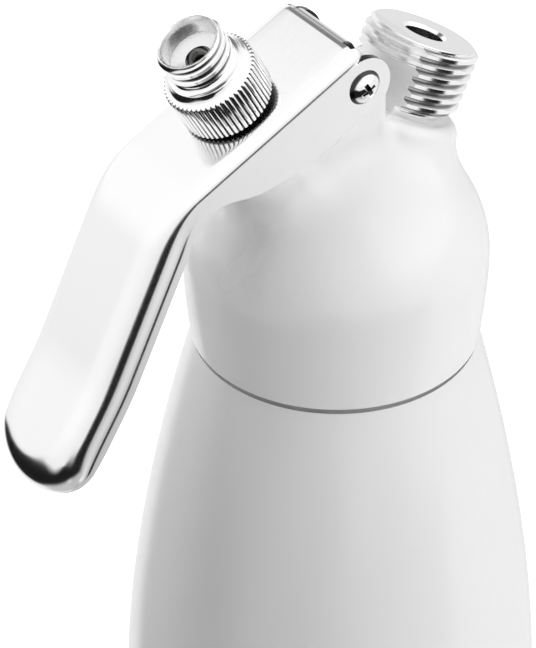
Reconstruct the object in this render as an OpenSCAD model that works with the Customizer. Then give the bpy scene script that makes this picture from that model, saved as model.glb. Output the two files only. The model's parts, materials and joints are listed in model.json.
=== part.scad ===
// Whipped cream dispenser: a tilting-lever whipper with a lacquered bottle,
// a lacquered cast head, a chromed charger inlet and a chromed nozzle adapter.
// Origin at the centre of the bottle's base, +Z up, the lever's grip on -X,
// the charger inlet on +X. The XZ plane is the plane of symmetry.

/* [Bottle] */
// Height of the bottle from its foot to the seam under the head
bottle_h = 168; // [150:1:190]
// Widest radius of the bottle
bottle_r = 42.5; // [40:0.5:46]
// Height of the widest ring above the foot
belly_h = 70; // [60:1:80]
// How far below the seam the shoulder's bend lies
shoulder_bend = 56; // [48:1:62]
// Radius of the flat that the bottle stands on
foot_r = 33.5; // [32:0.5:35]
// Radius of the round between the foot and the side
foot_round = 7; // [5:0.5:9]
// Wall of the bottle
bottle_wall = 1.6; // [1:0.1:2.4]
// Outer radius of the neck inside the head
neck_r = 24; // [23:0.25:25]
// Height of the neck above the seam
neck_h = 16.5; // [14:0.5:18]
// Wall of the neck
neck_wall = 2.4; // [2:0.1:3]

/* [Head] */
// Radius of the head's lower edge
head_edge_r = 28; // [27:0.25:29]
// Widest radius of the head
head_r = 29.1; // [28.5:0.1:30]
// Height of the widest ring above the seam
head_belly_h = 17; // [15:0.5:19]
// Rise of the dome above the widest ring
dome_h = 26; // [25:0.5:27]
// How far the head's lower edge stands out past the bottle
seam_step = 0.5; // [0.3:0.1:1]
// Gap between the head's lower edge and the bottle's shoulder
seam_gap = 1; // [0.5:0.1:1.5]
// Radial clearance between the neck and the head's bore
neck_clear = 0.3; // [0.2:0.05:0.5]
// Thickness of the sealing ring between neck and head
gasket_t = 2.5; // [2:0.1:3]
// Rise of the hollow over the sealing ring
hollow_h = 8; // [7:0.5:9]
// Radius of the hollow over the sealing ring
hollow_r = 18; // [17:0.5:19]
// Width of the bridge that carries the lever and the inlet
bridge_w = 18.4; // [17:0.1:18.5]
// Radius of the valve boss under the lever
boss_r = 9.3; // [8.5:0.1:10]
// Radius of the collar round the charger inlet
collar_r = 12.6; // [12:0.1:13.5]
// Round on the collar's upper edge
collar_round = 2.2; // [1:0.1:3]

/* [Valve stem] */
// Tilt of the stem from upright, towards the grip
stem_tilt = 29.15; // [27:0.05:31]
// Height above the seam at which the stem's axis crosses the bottle's axis
stem_cross_h = 15.2; // [14:0.1:16]
// Radius of the stem
stem_r = 3.5; // [3.2:0.1:3.8]
// Radius of the stem's channel
stem_bore_r = 2.2; // [1.6:0.1:2.4]
// Running clearance of the stem in its bush and seal, on the radius
run_clear = 0.06; // [0.03:0.01:0.1]
// Distance along the stem from the crossing to the valve seat
seat_s = 16; // [15:0.25:17]
// Distance along the stem from the crossing to the top of the boss
boss_s = 35.5; // [34:0.5:36]
// Outer radius of the guide bush
bush_r = 5.8; // [5.2:0.1:6.2]
// Length of the bush inside the boss
bush_depth = 9; // [8:0.5:10]
// Radius of the bush's flange
bush_flange_r = 7.8; // [7.5:0.1:8.2]
// Thickness of the bush's flange
bush_flange_t = 1.5; // [1:0.1:2]
// Section radius of the stem's sealing ring
ring_section_r = 1.05; // [0.9:0.05:1.1]
// Radius of the valve plate
valve_r = 6; // [5.5:0.1:6.3]
// Thickness of the valve plate
valve_plate_t = 1.6; // [1.2:0.1:2]
// Thickness of the valve's rubber washer
valve_rubber_t = 1.5; // [1.2:0.1:2]
// Gap between the rubber washer and its seat
seat_gap = 0.04; // [0.02:0.01:0.1]
// Height of the nut under the valve plate
valve_nut_h = 2.4; // [2:0.1:3]
// Across-corners radius of that nut
valve_nut_r = 4; // [3.6:0.1:4.4]
// Radius of the stem's threaded tail
tail_r = 2; // [1.6:0.1:2.4]
// Radius of the four ports through the stem's wall
port_r = 1; // [0.8:0.1:1.2]
// Radius of the stem's shoulder under the lever
shoulder_r = 7; // [6.8:0.1:7.4]
// Thickness of the stem's shoulder
shoulder_t = 1.6; // [1.2:0.1:2]
// Thickness of the slide washer between shoulder and lever
washer_t = 0.8; // [0.6:0.1:1]
// Gap on the axis between the slide washer and the lever
washer_gap = 0.68; // [0.66:0.02:0.9]

/* [Return spring] */
// Wire of the return spring
wire_d = 1.1; // [0.9:0.05:1.2]
// Mean radius of the return spring
spring_r = 5.9; // [5.6:0.1:6.1]
// Number of curls of the return spring
spring_curls = 4; // [3:1:4]
// Gap left at each end of the spring
spring_end_gap = 0.1; // [0.05:0.05:0.2]

/* [Nozzle adapter] */
// Distance along the stem from the crossing to the adapter's rim
rim_s = 68; // [67:0.25:69]
// Radius of the knurled ring
knurl_r = 8.82; // [8.6:0.02:9.2]
// Height of the knurled ring
knurl_h = 8.6; // [8:0.1:9]
// Distance from the rim down to the top of the knurled ring
knurl_drop = 8.6; // [8.2:0.1:9.2]
// Number of ribs on the knurled ring
knurl_ribs = 56; // [40:1:64]
// Depth of the grooves between the ribs
knurl_depth = 0.5; // [0.3:0.05:0.7]
// Outer radius of the adapter's thread
adapter_thread_r = 6.35; // [6.2:0.05:6.5]
// Length of the adapter's thread
adapter_thread_l = 5.8; // [5.4:0.1:6]
// Radius of the adapter's neck
adapter_neck_r = 5.75; // [5.6:0.05:6]
// Radius of the adapter's mouth
adapter_mouth_r = 5.05; // [4.8:0.05:5.2]
// Depth of the adapter's mouth
adapter_mouth_h = 4; // [3:0.25:4.5]
// Dish of the mouth's floor
adapter_dish = 0.6; // [0.4:0.1:0.9]
// Radius of the step between the knurled ring and the neck
adapter_step_r = 6.95; // [6.6:0.05:7.4]
// Height of the flare from the knurled ring up to the neck
adapter_flare_h = 2.4; // [2:0.1:2.8]
// Radius of the adapter's channel
adapter_bore_r = 2.5; // [2.2:0.1:2.7]
// Thickness of the sealing washer inside the adapter
adapter_washer_t = 1.2; // [1:0.1:1.5]

/* [Lever] */
// Outer width of the lever
lever_w = 22.2; // [22:0.1:23]
// Sheet thickness of the lever
sheet_t = 1.5; // [1.2:0.05:1.7]
// Slope of the lever's plate below the horizontal
plate_slope = 25.2; // [24.8:0.1:26]
// Slope of the lever's grip
grip_slope = 63.8; // [61:0.1:66]
// Slope of the lever's tip
tip_slope = 57.6; // [56:0.1:60]
// Radius of the bend between plate and grip, on its outer face
bend_r = 21; // [18:0.5:24]
// Radius of the gentle bend above the tip
flare_r = 60; // [40:1:80]
// Length of the plate, from its upper end to the bend
plate_l = 40; // [38:0.25:42]
// Straight length of the grip between its two bends
grip_l = 24.5; // [20:0.25:28]
// Straight length of the tip
tip_l = 21; // [18:0.25:23]
// How far the tip's rounded end bows out past its straight sides
tip_bow = 9; // [8:0.25:11]
// Round along the plate's edges
plate_round = 2.6; // [2.2:0.1:3]
// Round along the grip's edges
grip_round = 4.2; // [3.4:0.1:5]
// Round along the tip's end
tip_round = 7; // [5:0.1:7.2]
// Depth of the plate's sides
plate_depth = 6.8; // [6:0.1:7.2]
// Depth of the grip's sides
grip_depth = 8.8; // [8:0.1:10]
// Depth of the tip's end
tip_depth = 7.8; // [7.6:0.1:9]
// Depth of the flange across the plate's upper end
flange_depth = 3.4; // [3.2:0.1:3.6]
// Round of the plate's two upper corners
corner_r = 3; // [2.8:0.1:3.6]
// Width of the relief between the end flange and each ear
relief_w = 2.4; // [2:0.1:2.8]
// Length of that relief along the plate
relief_l = 1.7; // [1.4:0.1:2]
// Angle that the lever turns through when it is pressed
lever_stroke = 8.5; // [6:0.5:9]

/* [Pivot] */
// Pivot's distance in front of the bottle's axis, towards the grip
pivot_x = 2.6; // [2:0.1:3]
// Height of the pivot above the seam
pivot_h = 59.5; // [59:0.1:60]
// Height of the plate's outer face over the pivot
plate_over_pivot = 8.5; // [8.2:0.1:9]
// How far the plate's upper end reaches past the pivot
plate_past_pivot = 3.2; // [2.8:0.1:3.4]
// Radius of the ear round the pivot
ear_r = 5.75; // [5.4:0.05:6]
// Radius of the lug on the bridge
lug_r = 4.9; // [4.6:0.1:5]
// Distance of the bridge's upright rear face behind the bottle's axis
bridge_rear = 4.6; // [4:0.1:5]
// Outer radius of the pivot barrel
barrel_r = 2.6; // [2.4:0.1:2.8]
// Wall left at the barrel's closed far end
barrel_end = 4; // [3:0.5:6]
// Radius of the pivot screw's shank
screw_r = 1.5; // [1.3:0.1:1.6]
// Length of the pivot screw's shank
screw_l = 12; // [10:0.5:16]
// Radius of the screw's head
screw_head_r = 3.4; // [3.2:0.1:3.6]
// Height of the screw's head
screw_head_h = 1.7; // [1.4:0.1:2]

/* [Charger inlet] */
// Tilt of the inlet from upright, away from the grip
inlet_tilt = 25.7; // [24:0.1:27]
// Height above the seam at which the inlet's axis crosses the bottle's axis
inlet_cross_h = 16.1; // [15:0.1:17]
// Distance along the inlet's axis from the crossing to its top
inlet_top_s = 46; // [45:0.25:47]
// Outer radius of the inlet's thread
inlet_thread_r = 11; // [10.8:0.05:11.2]
// Pitch of the inlet's thread, which also sets its chamfer
inlet_pitch = 2; // [1.5:0.25:2]
// Length of the inlet's thread
inlet_thread_l = 12.8; // [12:0.2:14]
// Radius of the inlet's neck between thread and collar
inlet_neck_r = 9; // [8.7:0.1:9.4]
// Height of that neck
inlet_neck_h = 1.6; // [1.2:0.1:2.5]
// Distance of the vent flat from the inlet's axis
flat_dist = 6.6; // [6:0.1:7.5]
// Length of the full thread above the vent flat
flat_top = 4.6; // [4:0.2:7]
// Radius of the inlet's shank inside the collar
shank_r = 8; // [7.5:0.1:8.4]
// Length of that shank
shank_l = 11.5; // [10:0.5:12]
// Radius of the socket for the charger's neck
socket_r = 3.75; // [3.6:0.05:4.4]
// Depth of that socket
socket_h = 9; // [8:0.25:10]
// Radius of the piercing pin's body
pin_r = 2.8; // [2.6:0.1:3]
// Height of the pin's point over the socket's rubber seat
needle_h = 4.5; // [3.5:0.25:5]
// Chamfer at the socket's mouth
socket_chamfer = 0.6; // [0.4:0.1:0.8]
// Thickness of the rubber seat round the pin
charger_seat_t = 1.5; // [1:0.1:2]
// Thickness of the washer under the inlet's shank
inlet_washer_t = 1; // [0.8:0.1:1.2]
// Radius of the pin's tail, which the check sleeve covers
pin_tail_r = 1.5; // [1.3:0.1:1.6]
// Wall of the rubber check sleeve
sleeve_wall = 0.8; // [0.6:0.1:1]

/* [Hidden] */
$fn = 96;
small_fn = 48;
eps = 0.01;

// Heights of the seam, the neck's rim and the head's inner ceiling
seam_z = bottle_h;
rim_z = seam_z + neck_h;
ceiling_z = rim_z + gasket_t;
shoulder_edge_r = head_edge_r - seam_step;
mouth_r = neck_r - neck_wall;
rim_chamfer = 0.6;

// Places along the stem's axis, measured from the crossing
cross_z = seam_z + stem_cross_h;
knurl_top_s = rim_s - knurl_drop;
knurl_low_s = knurl_top_s - knurl_h;
pivot = [-pivot_x, seam_z + pivot_h];
stem_dir = [-sin(stem_tilt), cos(stem_tilt)];
plate_dir = [cos(plate_slope), sin(plate_slope)];
plate_normal = [-sin(plate_slope), cos(plate_slope)];
pivot_from_cross = [-pivot_x, pivot_h - stem_cross_h];
plate_s = (plate_over_pivot + pivot_from_cross * plate_normal) / (stem_dir * plate_normal);
plate_under_s = plate_s - sheet_t / (stem_dir * plate_normal);
washer_s = plate_under_s - washer_gap;
shoulder_s = washer_s - washer_t;
valve_s = seat_s - seat_gap - valve_rubber_t - valve_plate_t;
tail_s = valve_s - valve_nut_h - 0.6;
stem_top_s = knurl_top_s - 2.5;
bush_top_s = boss_s + bush_flange_t;
spring_low_s = bush_top_s + spring_end_gap;
spring_high_s = shoulder_s - shoulder_t - spring_end_gap;
bush_hole_r = stem_r + run_clear;
ring_mid_r = stem_r + run_clear + ring_section_r;
chamber_r = ring_mid_r + ring_section_r;
ring_s = boss_s - bush_depth - ring_section_r;
chamber_top_s = ring_s - ring_section_r;
port_s = (seat_s + chamber_top_s) / 2;

// The lever's slot follows the stem from rest to full stroke
pressed_slope = plate_slope + lever_stroke;
pressed_dir = [cos(pressed_slope), sin(pressed_slope)];
pressed_normal = [-sin(pressed_slope), cos(pressed_slope)];
pressed_s = (plate_over_pivot + pivot_from_cross * pressed_normal) / (stem_dir * pressed_normal);
slot_rest = (stem_dir * plate_s - pivot_from_cross) * plate_dir;
slot_pressed = (stem_dir * pressed_s - pivot_from_cross) * pressed_dir;
slot_clear = 0.4;
lever_arm = abs(pivot_from_cross[0] * stem_dir[1] - pivot_from_cross[1] * stem_dir[0]);
stem_stroke = lever_arm * lever_stroke * PI / 180;
echo(stem_stroke = stem_stroke);

// Places along the inlet's axis, measured from the crossing
inlet_thread_s = inlet_top_s - inlet_thread_l;
collar_s = inlet_thread_s - inlet_neck_h;
shank_s = collar_s - shank_l;
socket_s = inlet_top_s - socket_h;
seat_low_s = socket_s - charger_seat_t;
pin_low_s = shank_s + 5;
gas_r = pin_tail_r + sleeve_wall + 0.3;

// ---------------------------------------------------------------- frames

module on_stem(s = 0) {
    translate([0, 0, cross_z])
        rotate([0, -stem_tilt, 0])
            translate([0, 0, s])
                children();
}

module on_inlet(s = 0) {
    translate([0, 0, seam_z + inlet_cross_h])
        rotate([0, inlet_tilt, 0])
            translate([0, 0, s])
                children();
}

// Side view: first axis along the plate towards the inlet, second axis
// square to the plate, extruded along Y about the plane of symmetry
module on_plate(width) {
    translate([pivot[0], 0, pivot[1]])
        rotate([90, -plate_slope, 0])
            linear_extrude(width, center = true)
                children();
}

module tube(outer_r, inner_r, h) {
    difference() {
        cylinder(r = outer_r, h = h);
        translate([0, 0, -eps])
            cylinder(r = inner_r, h = h + 2 * eps);
    }
}

// ---------------------------------------------------------------- bottle

function bezier(a, b, c, t) = (1 - t) * (1 - t) * a + 2 * t * (1 - t) * b + t * t * c;

function arc(centre, r, from, to, steps) = [
    for (i = [0:steps])
        let (angle = from + (to - from) * i / steps)
            centre + r * [cos(angle), sin(angle)]
];

// Shoulder, belly and foot of a bottle that is thinner by inset all round
function bottle_side(inset) = let (
    top = [shoulder_edge_r - inset, seam_z - seam_gap],
    bend = [bottle_r - inset, seam_z - shoulder_bend],
    belly = [bottle_r - inset, belly_h],
    corner = [foot_r, foot_round],
    round_r = foot_round - inset,
    taper = [bottle_r - inset, belly_h * 0.45]
) concat(
    [for (i = [0:18]) bezier(top, bend, belly, i / 18)],
    [for (i = [1:7]) bezier(belly, taper, corner + [round_r, 0], i / 8)],
    arc(corner, round_r, 0, -90, 8)
);

module bottle_outline() {
    polygon(concat(
        [[0, rim_z], [neck_r - rim_chamfer, rim_z], [neck_r, rim_z - rim_chamfer]],
        [[neck_r, seam_z - seam_gap]],
        bottle_side(0),
        [[0, 0]]
    ));
}

module bottle_hollow() {
    side = bottle_side(bottle_wall);
    polygon(concat(
        [[0, rim_z + 1], [mouth_r, rim_z + 1], [mouth_r, seam_z - 4]],
        [for (i = [1:len(side) - 1]) side[i]],
        [[0, bottle_wall]]
    ));
}

module bottle() {
    color("white")
        rotate_extrude()
            difference() {
                bottle_outline();
                bottle_hollow();
            }
}

module head_gasket() {
    color("gainsboro")
        translate([0, 0, rim_z])
            tube(neck_r - rim_chamfer, hollow_r + 1, gasket_t);
}

// ---------------------------------------------------------------- head

module head_dome() {
    belly_z = seam_z + head_belly_h;
    rotate_extrude()
        polygon(concat(
            [[0, seam_z]],
            [for (i = [0:8]) let (t = i / 8)
                [head_edge_r + (head_r - head_edge_r) * sin(90 * t), seam_z + head_belly_h * t]],
            [for (i = [1:18]) let (angle = 5 * i)
                [head_r * cos(angle), belly_z + dome_h * sin(angle)]]
        ));
}

// The bridge's side view, from the valve boss over the lug and down its
// upright rear face to the foot under the collar. Its upper edge stays a step
// below the boss and falls away from the lug, clear of the pressed lever
module bridge_side() {
    step = 2;
    foot_s = boss_s / 2;
    dome_top = seam_z + head_belly_h + dome_h;
    crossing = [0, cross_z];
    across_stem = [stem_dir[1], -stem_dir[0]];
    boss_corner = crossing + (boss_s - step) * stem_dir + (boss_r + 0.6) * across_stem;
    lug_front = pivot - 1.6 * lug_r * plate_dir + 0.35 * lug_r * plate_normal;
    lug_rear = pivot + lug_r * [cos(10), -sin(10)];
    foot_rear = bridge_rear + boss_r;
    translate(pivot)
        circle(r = lug_r);
    polygon([
        crossing + foot_s * stem_dir,
        crossing + (boss_s - step) * stem_dir,
        boss_corner,
        lug_front,
        pivot + lug_r * plate_normal,
        lug_rear,
        [bridge_rear, lug_rear[1] - step],
        [bridge_rear, dome_top + 1],
        [foot_rear, dome_top - 5],
        [foot_rear, dome_top - 11]
    ]);
}

module head_shell() {
    color("white")
        difference() {
            union() {
                head_dome();
                rotate([90, 0, 0])
                    linear_extrude(bridge_w, center = true)
                        bridge_side();
                on_stem(10)
                    cylinder(r = boss_r, h = boss_s - 10);
                on_inlet(10)
                    cylinder(r = collar_r, h = collar_s - 10 - collar_round);
                on_inlet(collar_s - collar_round)
                    rotate_extrude()
                        polygon(concat(
                            [[0, -eps], [collar_r, -eps]],
                            arc([collar_r - collar_round, 0], collar_round, 0, 90, 6),
                            [[0, collar_round]]
                        ));
            }
            head_bores();
        }
}

module head_bores() {
    translate([0, 0, seam_z - 1])
        cylinder(r = neck_r + neck_clear, h = ceiling_z - seam_z + 1);
    translate([0, 0, ceiling_z - eps])
        cylinder(r1 = hollow_r, r2 = hollow_r - 3.5, h = hollow_h);
    on_stem(0)
        cylinder(r = valve_r + 1, h = seat_s);
    on_stem(seat_s - eps)
        cylinder(r = chamber_r, h = boss_s - bush_depth - seat_s + eps);
    on_stem(boss_s - bush_depth - eps)
        cylinder(r = bush_r, h = knurl_low_s - boss_s + bush_depth);
    on_inlet(shank_s - inlet_washer_t)
        cylinder(r = shank_r, h = inlet_top_s - shank_s + inlet_washer_t);
    on_inlet(2)
        cylinder(r = gas_r, h = shank_s);
    on_plate(lever_w)
        circle(r = barrel_r + run_clear, $fn = small_fn);
}

// ---------------------------------------------------------------- valve

module guide_bush() {
    color("darkgoldenrod")
        difference() {
            union() {
                on_stem(boss_s - bush_depth)
                    cylinder(r = bush_r, h = bush_depth + eps);
                on_stem(boss_s)
                    cylinder(r = bush_flange_r, h = bush_flange_t);
            }
            on_stem(boss_s - bush_depth - 1)
                cylinder(r = bush_hole_r, h = bush_depth + bush_flange_t + 2);
        }
}

module stem_seal() {
    color("dimgray")
        on_stem(ring_s)
            rotate_extrude()
                translate([ring_mid_r, 0])
                    circle(r = ring_section_r, $fn = 32);
}

module valve_stem() {
    color("silver")
        difference() {
            union() {
                on_stem(valve_s + valve_plate_t + valve_rubber_t)
                    cylinder(r = stem_r, h = stem_top_s - valve_s - valve_plate_t - valve_rubber_t);
                on_stem(tail_s)
                    cylinder(r = tail_r, h = seat_s - tail_s, $fn = small_fn);
                on_stem(shoulder_s - shoulder_t)
                    cylinder(r = shoulder_r, h = shoulder_t);
            }
            on_stem(port_s - 2 * port_r)
                cylinder(r = stem_bore_r, h = stem_top_s, $fn = small_fn);
            for (turn = [0, 90])
                on_stem(port_s)
                    rotate([90, 0, turn])
                        cylinder(r = port_r, h = 4 * stem_r, center = true, $fn = 24);
        }
}

module valve_plate() {
    color("silver")
        on_stem(valve_s)
            tube(valve_r, tail_r, valve_plate_t);
}

module valve_rubber() {
    color("dimgray")
        on_stem(valve_s + valve_plate_t)
            tube(valve_r - 0.4, tail_r, valve_rubber_t);
}

module valve_nut() {
    color("silver")
        on_stem(valve_s - valve_nut_h)
            difference() {
                cylinder(r = valve_nut_r, h = valve_nut_h, $fn = 6);
                translate([0, 0, -1])
                    cylinder(r = tail_r, h = valve_nut_h + 2, $fn = small_fn);
            }
}

module slide_washer() {
    color("whitesmoke")
        on_stem(shoulder_s)
            tube(shoulder_r - 0.2, stem_r, washer_t);
}

// ---------------------------------------------------------------- spring

// One unbroken wire that climbs evenly from the bush to the shoulder
spring_rings = 8;
spring_sides = 6;
spring_low = spring_low_s + wire_d / 2;
spring_climb = spring_high_s - spring_low_s - wire_d;

function spring_point(turn) = [
    spring_r * cos(360 * turn),
    spring_r * sin(360 * turn),
    spring_climb * turn / spring_curls
];

spring_path = [for (i = [0:spring_curls * spring_rings]) spring_point(i / spring_rings)];

function unit(v) = v / norm(v);

module wire_along(points, r, sides) {
    last = len(points) - 1;
    rings = [
        for (i = [0:last])
            let (
                along = unit(points[min(last, i + 1)] - points[max(0, i - 1)]),
                side = unit(cross(along, [0, 0, 1])),
                up = cross(side, along)
            )
            for (j = [0:sides - 1])
                points[i] + r * (cos(360 * j / sides) * side + sin(360 * j / sides) * up)
    ];
    walls = [
        for (i = [0:last - 1], j = [0:sides - 1])
            let (a = i * sides + j, b = i * sides + (j + 1) % sides)
                each [[a, a + sides, b], [b, a + sides, b + sides]]
    ];
    start_cap = [for (j = [1:sides - 2]) [0, j, j + 1]];
    end_cap = [for (j = [1:sides - 2]) [last * sides, last * sides + j + 1, last * sides + j]];
    polyhedron(rings, concat(walls, start_cap, end_cap));
}

// Least gap between two stretches of wire that lie at least half a curl apart
spring_gap = min([
    for (i = [0:len(spring_path) - 1], j = [i + spring_rings / 2:len(spring_path) - 1])
        norm(spring_path[i] - spring_path[j])
]) - wire_d;
echo(spring_gap = spring_gap);

module return_spring() {
    color("silver")
        on_stem(spring_low)
            wire_along(spring_path, wire_d / 2, spring_sides);
}

// ---------------------------------------------------------------- nozzle

module knurled_disc(r, depth, ribs) {
    step = 360 / ribs;
    polygon([
        for (i = [0:ribs - 1])
            each [
                r * [cos(step * (i - 0.28)), sin(step * (i - 0.28))],
                r * [cos(step * (i + 0.28)), sin(step * (i + 0.28))],
                (r - depth) * [cos(step * (i + 0.5)), sin(step * (i + 0.5))]
            ]
    ]);
}

module nozzle_adapter() {
    floor_s = rim_s - adapter_mouth_h;
    thread_s = rim_s - adapter_thread_l;
    lip = adapter_thread_r - adapter_mouth_r;
    color("silver")
        difference() {
            union() {
                on_stem(knurl_low_s)
                    linear_extrude(knurl_h)
                        knurled_disc(knurl_r, knurl_depth, knurl_ribs);
                on_stem(knurl_top_s - eps)
                    rotate_extrude()
                        polygon([
                            [0, 0],
                            [knurl_r - 1.1 * knurl_depth, 0],
                            [knurl_r - 1.3 * knurl_depth, adapter_flare_h / 10],
                            [adapter_step_r, adapter_flare_h * 0.4],
                            [adapter_step_r, adapter_flare_h * 0.6],
                            [adapter_neck_r, adapter_flare_h],
                            [adapter_neck_r, thread_s - knurl_top_s + 2 * eps],
                            [0, thread_s - knurl_top_s + 2 * eps]
                        ]);
                on_stem(thread_s)
                    rotate_extrude()
                        polygon([
                            [0, 0],
                            [adapter_neck_r, 0],
                            [adapter_thread_r, adapter_thread_r - adapter_neck_r],
                            [adapter_thread_r, adapter_thread_l - lip / 4],
                            [adapter_thread_r - lip / 4, adapter_thread_l],
                            [0, adapter_thread_l]
                        ]);
            }
            on_stem(floor_s)
                cylinder(r = adapter_mouth_r, h = adapter_mouth_h + 1);
            on_stem(floor_s - adapter_dish)
                cylinder(r1 = adapter_bore_r, r2 = adapter_mouth_r, h = adapter_dish + eps);
            on_stem(stem_top_s)
                cylinder(r = adapter_bore_r, h = rim_s, $fn = small_fn);
            on_stem(knurl_low_s - 1)
                cylinder(r = stem_r, h = stem_top_s + adapter_washer_t - knurl_low_s + 1);
        }
}

module adapter_washer() {
    color("gainsboro")
        on_stem(stem_top_s)
            tube(stem_r, stem_bore_r, adapter_washer_t);
}

// ---------------------------------------------------------------- lever

// Side view of the pressing: distance u runs down the outer face from the
// plate's upper end to the tip, as straights joined by two bends
bend_turn = grip_slope - plate_slope;
flare_turn = grip_slope - tip_slope;
bend_l = bend_r * bend_turn * PI / 180;
flare_l = flare_r * flare_turn * PI / 180;
lever_l = plate_l + bend_l + grip_l + flare_l + tip_l;

function down(slope) = [-cos(slope), -sin(slope)];
function out(slope) = [-sin(slope), cos(slope)];

lever_start = pivot + plate_over_pivot * plate_normal + plate_past_pivot * plate_dir;
bend_start = lever_start + plate_l * down(plate_slope);
bend_centre = bend_start - bend_r * out(plate_slope);
grip_start = bend_centre + bend_r * out(grip_slope);
flare_start = grip_start + grip_l * down(grip_slope);
flare_centre = flare_start + flare_r * out(grip_slope);
tip_start = flare_centre - flare_r * out(tip_slope);

function lever_slope(u) =
    u < plate_l ? plate_slope :
    u < plate_l + bend_l ? plate_slope + bend_turn * (u - plate_l) / bend_l :
    u < plate_l + bend_l + grip_l ? grip_slope :
    u < lever_l - tip_l ? grip_slope - flare_turn * (u - plate_l - bend_l - grip_l) / flare_l :
    tip_slope;

function lever_face(u) =
    u < plate_l ? lever_start + u * down(plate_slope) :
    u < plate_l + bend_l ? bend_centre + bend_r * out(lever_slope(u)) :
    u < plate_l + bend_l + grip_l ? grip_start + (u - plate_l - bend_l) * down(grip_slope) :
    u < lever_l - tip_l ? flare_centre - flare_r * out(lever_slope(u)) :
    tip_start + (u - lever_l + tip_l) * down(tip_slope);

// A point of the pressing: u along the face, y across it, depth under it
function lever_point(u, y, depth) = let (
    p = lever_face(u) - depth * out(lever_slope(u))
) [p[0], y, p[1]];

function ramp(t) = let (c = max(0, min(1, t))) c * c * (3 - 2 * c);
function along_bend(u) = ramp((u - plate_l) / bend_l);
tip_blend = 1.6 * tip_bow;
function along_tip(u) = ramp((u - lever_l + tip_blend) / tip_blend);
function edge_round(u) = plate_round + (grip_round - plate_round) * along_bend(u)
    + (tip_round - grip_round) * along_tip(u);
function side_depth(u) = let (
    to_flange = 1 - ramp((u - corner_r) / corner_r)
) plate_depth + (grip_depth - plate_depth) * along_bend(u)
    + (tip_depth - grip_depth) * along_tip(u) - (plate_depth - flange_depth) * to_flange;

// Half of the pressing's outline laid flat, as [place, outward normal]
lever_half_w = lever_w / 2;
side_steps = 26;
tip_steps = 10;
corner_steps = 3;
side_l = lever_l - tip_bow - corner_r;
half_outline = concat(
    [for (i = [0:corner_steps]) let (a = 90 * i / corner_steps, n = [-cos(a), sin(a)])
        [[corner_r, lever_half_w - corner_r] + corner_r * n, n]],
    [for (i = [1:side_steps]) [[corner_r + side_l * i / side_steps, lever_half_w], [0, 1]]],
    [for (i = [1:tip_steps]) let (a = 90 * i / tip_steps, slant = [sin(a) / tip_bow, cos(a) / lever_half_w])
        [[lever_l - tip_bow + tip_bow * sin(a), lever_half_w * cos(a)], slant / norm(slant)]]
);
half_count = len(half_outline);
lever_outline = concat(
    half_outline,
    [for (i = [half_count - 2:-1:0]) [
        [half_outline[i][0][0], -half_outline[i][0][1]],
        [half_outline[i][1][0], -half_outline[i][1][1]]
    ]]
);

// Steps across the edge from the outer face over the round, down the side,
// and back up inside: each is [share of turn, inside or outside]
round_steps = 4;
function edge_ring(k, u) = let (
    inside = k > round_steps + 1,
    step = inside ? 2 * round_steps + 3 - k : k,
    r = edge_round(u) - (inside ? sheet_t : 0),
    skin = inside ? sheet_t : 0,
    angle = 90 * min(step, round_steps) / round_steps
) step > round_steps
    ? [skin, side_depth(u)]
    : [skin + r * (1 - sin(angle)), skin + r * (1 - cos(angle))];

ring_count = 2 * round_steps + 4;

module pressing() {
    count = len(lever_outline);
    last = ring_count - 1;
    points = [
        for (k = [0:last], o = lever_outline)
            let (step = edge_ring(k, o[0][0]), flat_place = o[0] - step[0] * o[1])
                lever_point(flat_place[0], flat_place[1], step[1])
    ];
    walls = [
        for (k = [0:last - 1], i = [0:count - 1])
            let (a = k * count + i, b = k * count + (i + 1) % count)
                each [[a, b, a + count], [b, b + count, a + count]]
    ];
    faces = [
        for (i = [0:half_count - 2])
            let (j = count - 1 - i, m = last * count)
                each concat(
                    [[i, j, i + 1]],
                    i < half_count - 2 ? [[i + 1, j, j - 1]] : [],
                    [[m + i, m + i + 1, m + j]],
                    i < half_count - 2 ? [[m + i + 1, m + j - 1, m + j]] : []
                )
    ];
    polyhedron(points, concat(walls, faces));
}

// The ear's side view, from the plate's side down round the pivot
module ear_side() {
    side_low = plate_over_pivot - plate_depth;
    top = plate_over_pivot - 1.1 * plate_round;
    // Run from the pivot in ear radii, and share of the drop to the ear's foot
    edge = [[-6.1, -0.05], [-5.5, 0.19], [-5, 0.44], [-4.4, 0.59], [-2.2, 1], [0, 1]];
    circle(r = ear_r);
    polygon(concat(
        [[-6.3 * ear_r, top]],
        [for (e = edge) [e[0] * ear_r, side_low - e[1] * (side_low + ear_r)]],
        [[plate_past_pivot - corner_r, side_low], [plate_past_pivot - corner_r, top]]
    ));
}

// The slot that lets the stem through, and the reliefs that part the end
// flange from the ears, seen square to the plate
module lever_cuts() {
    hull()
        for (q = [slot_rest, slot_pressed])
            translate([q, 0])
                circle(r = stem_r + slot_clear, $fn = small_fn);
    for (side = [-1, 1])
        translate([
            plate_past_pivot - relief_l,
            side * (lever_half_w - sheet_t - relief_w / 2 + 0.05) - relief_w / 2
        ])
            square([relief_l + 1, relief_w]);
}

module lever() {
    color("silver")
        difference() {
            union() {
                pressing();
                for (side = [-1, 1])
                    translate([0, side * (lever_half_w - sheet_t / 2), 0])
                        on_plate(sheet_t)
                            ear_side();
            }
            on_plate(lever_w + 2)
                circle(r = barrel_r, $fn = small_fn);
            translate([pivot[0], 0, pivot[1]])
                rotate([0, -plate_slope, 0])
                    translate([0, 0, plate_over_pivot - plate_depth])
                        linear_extrude(2 * plate_depth)
                            lever_cuts();
        }
}

// ---------------------------------------------------------------- pivot

module across_pivot() {
    translate([pivot[0], 0, pivot[1]])
        rotate([90, 0, 0])
            children();
}

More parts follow.
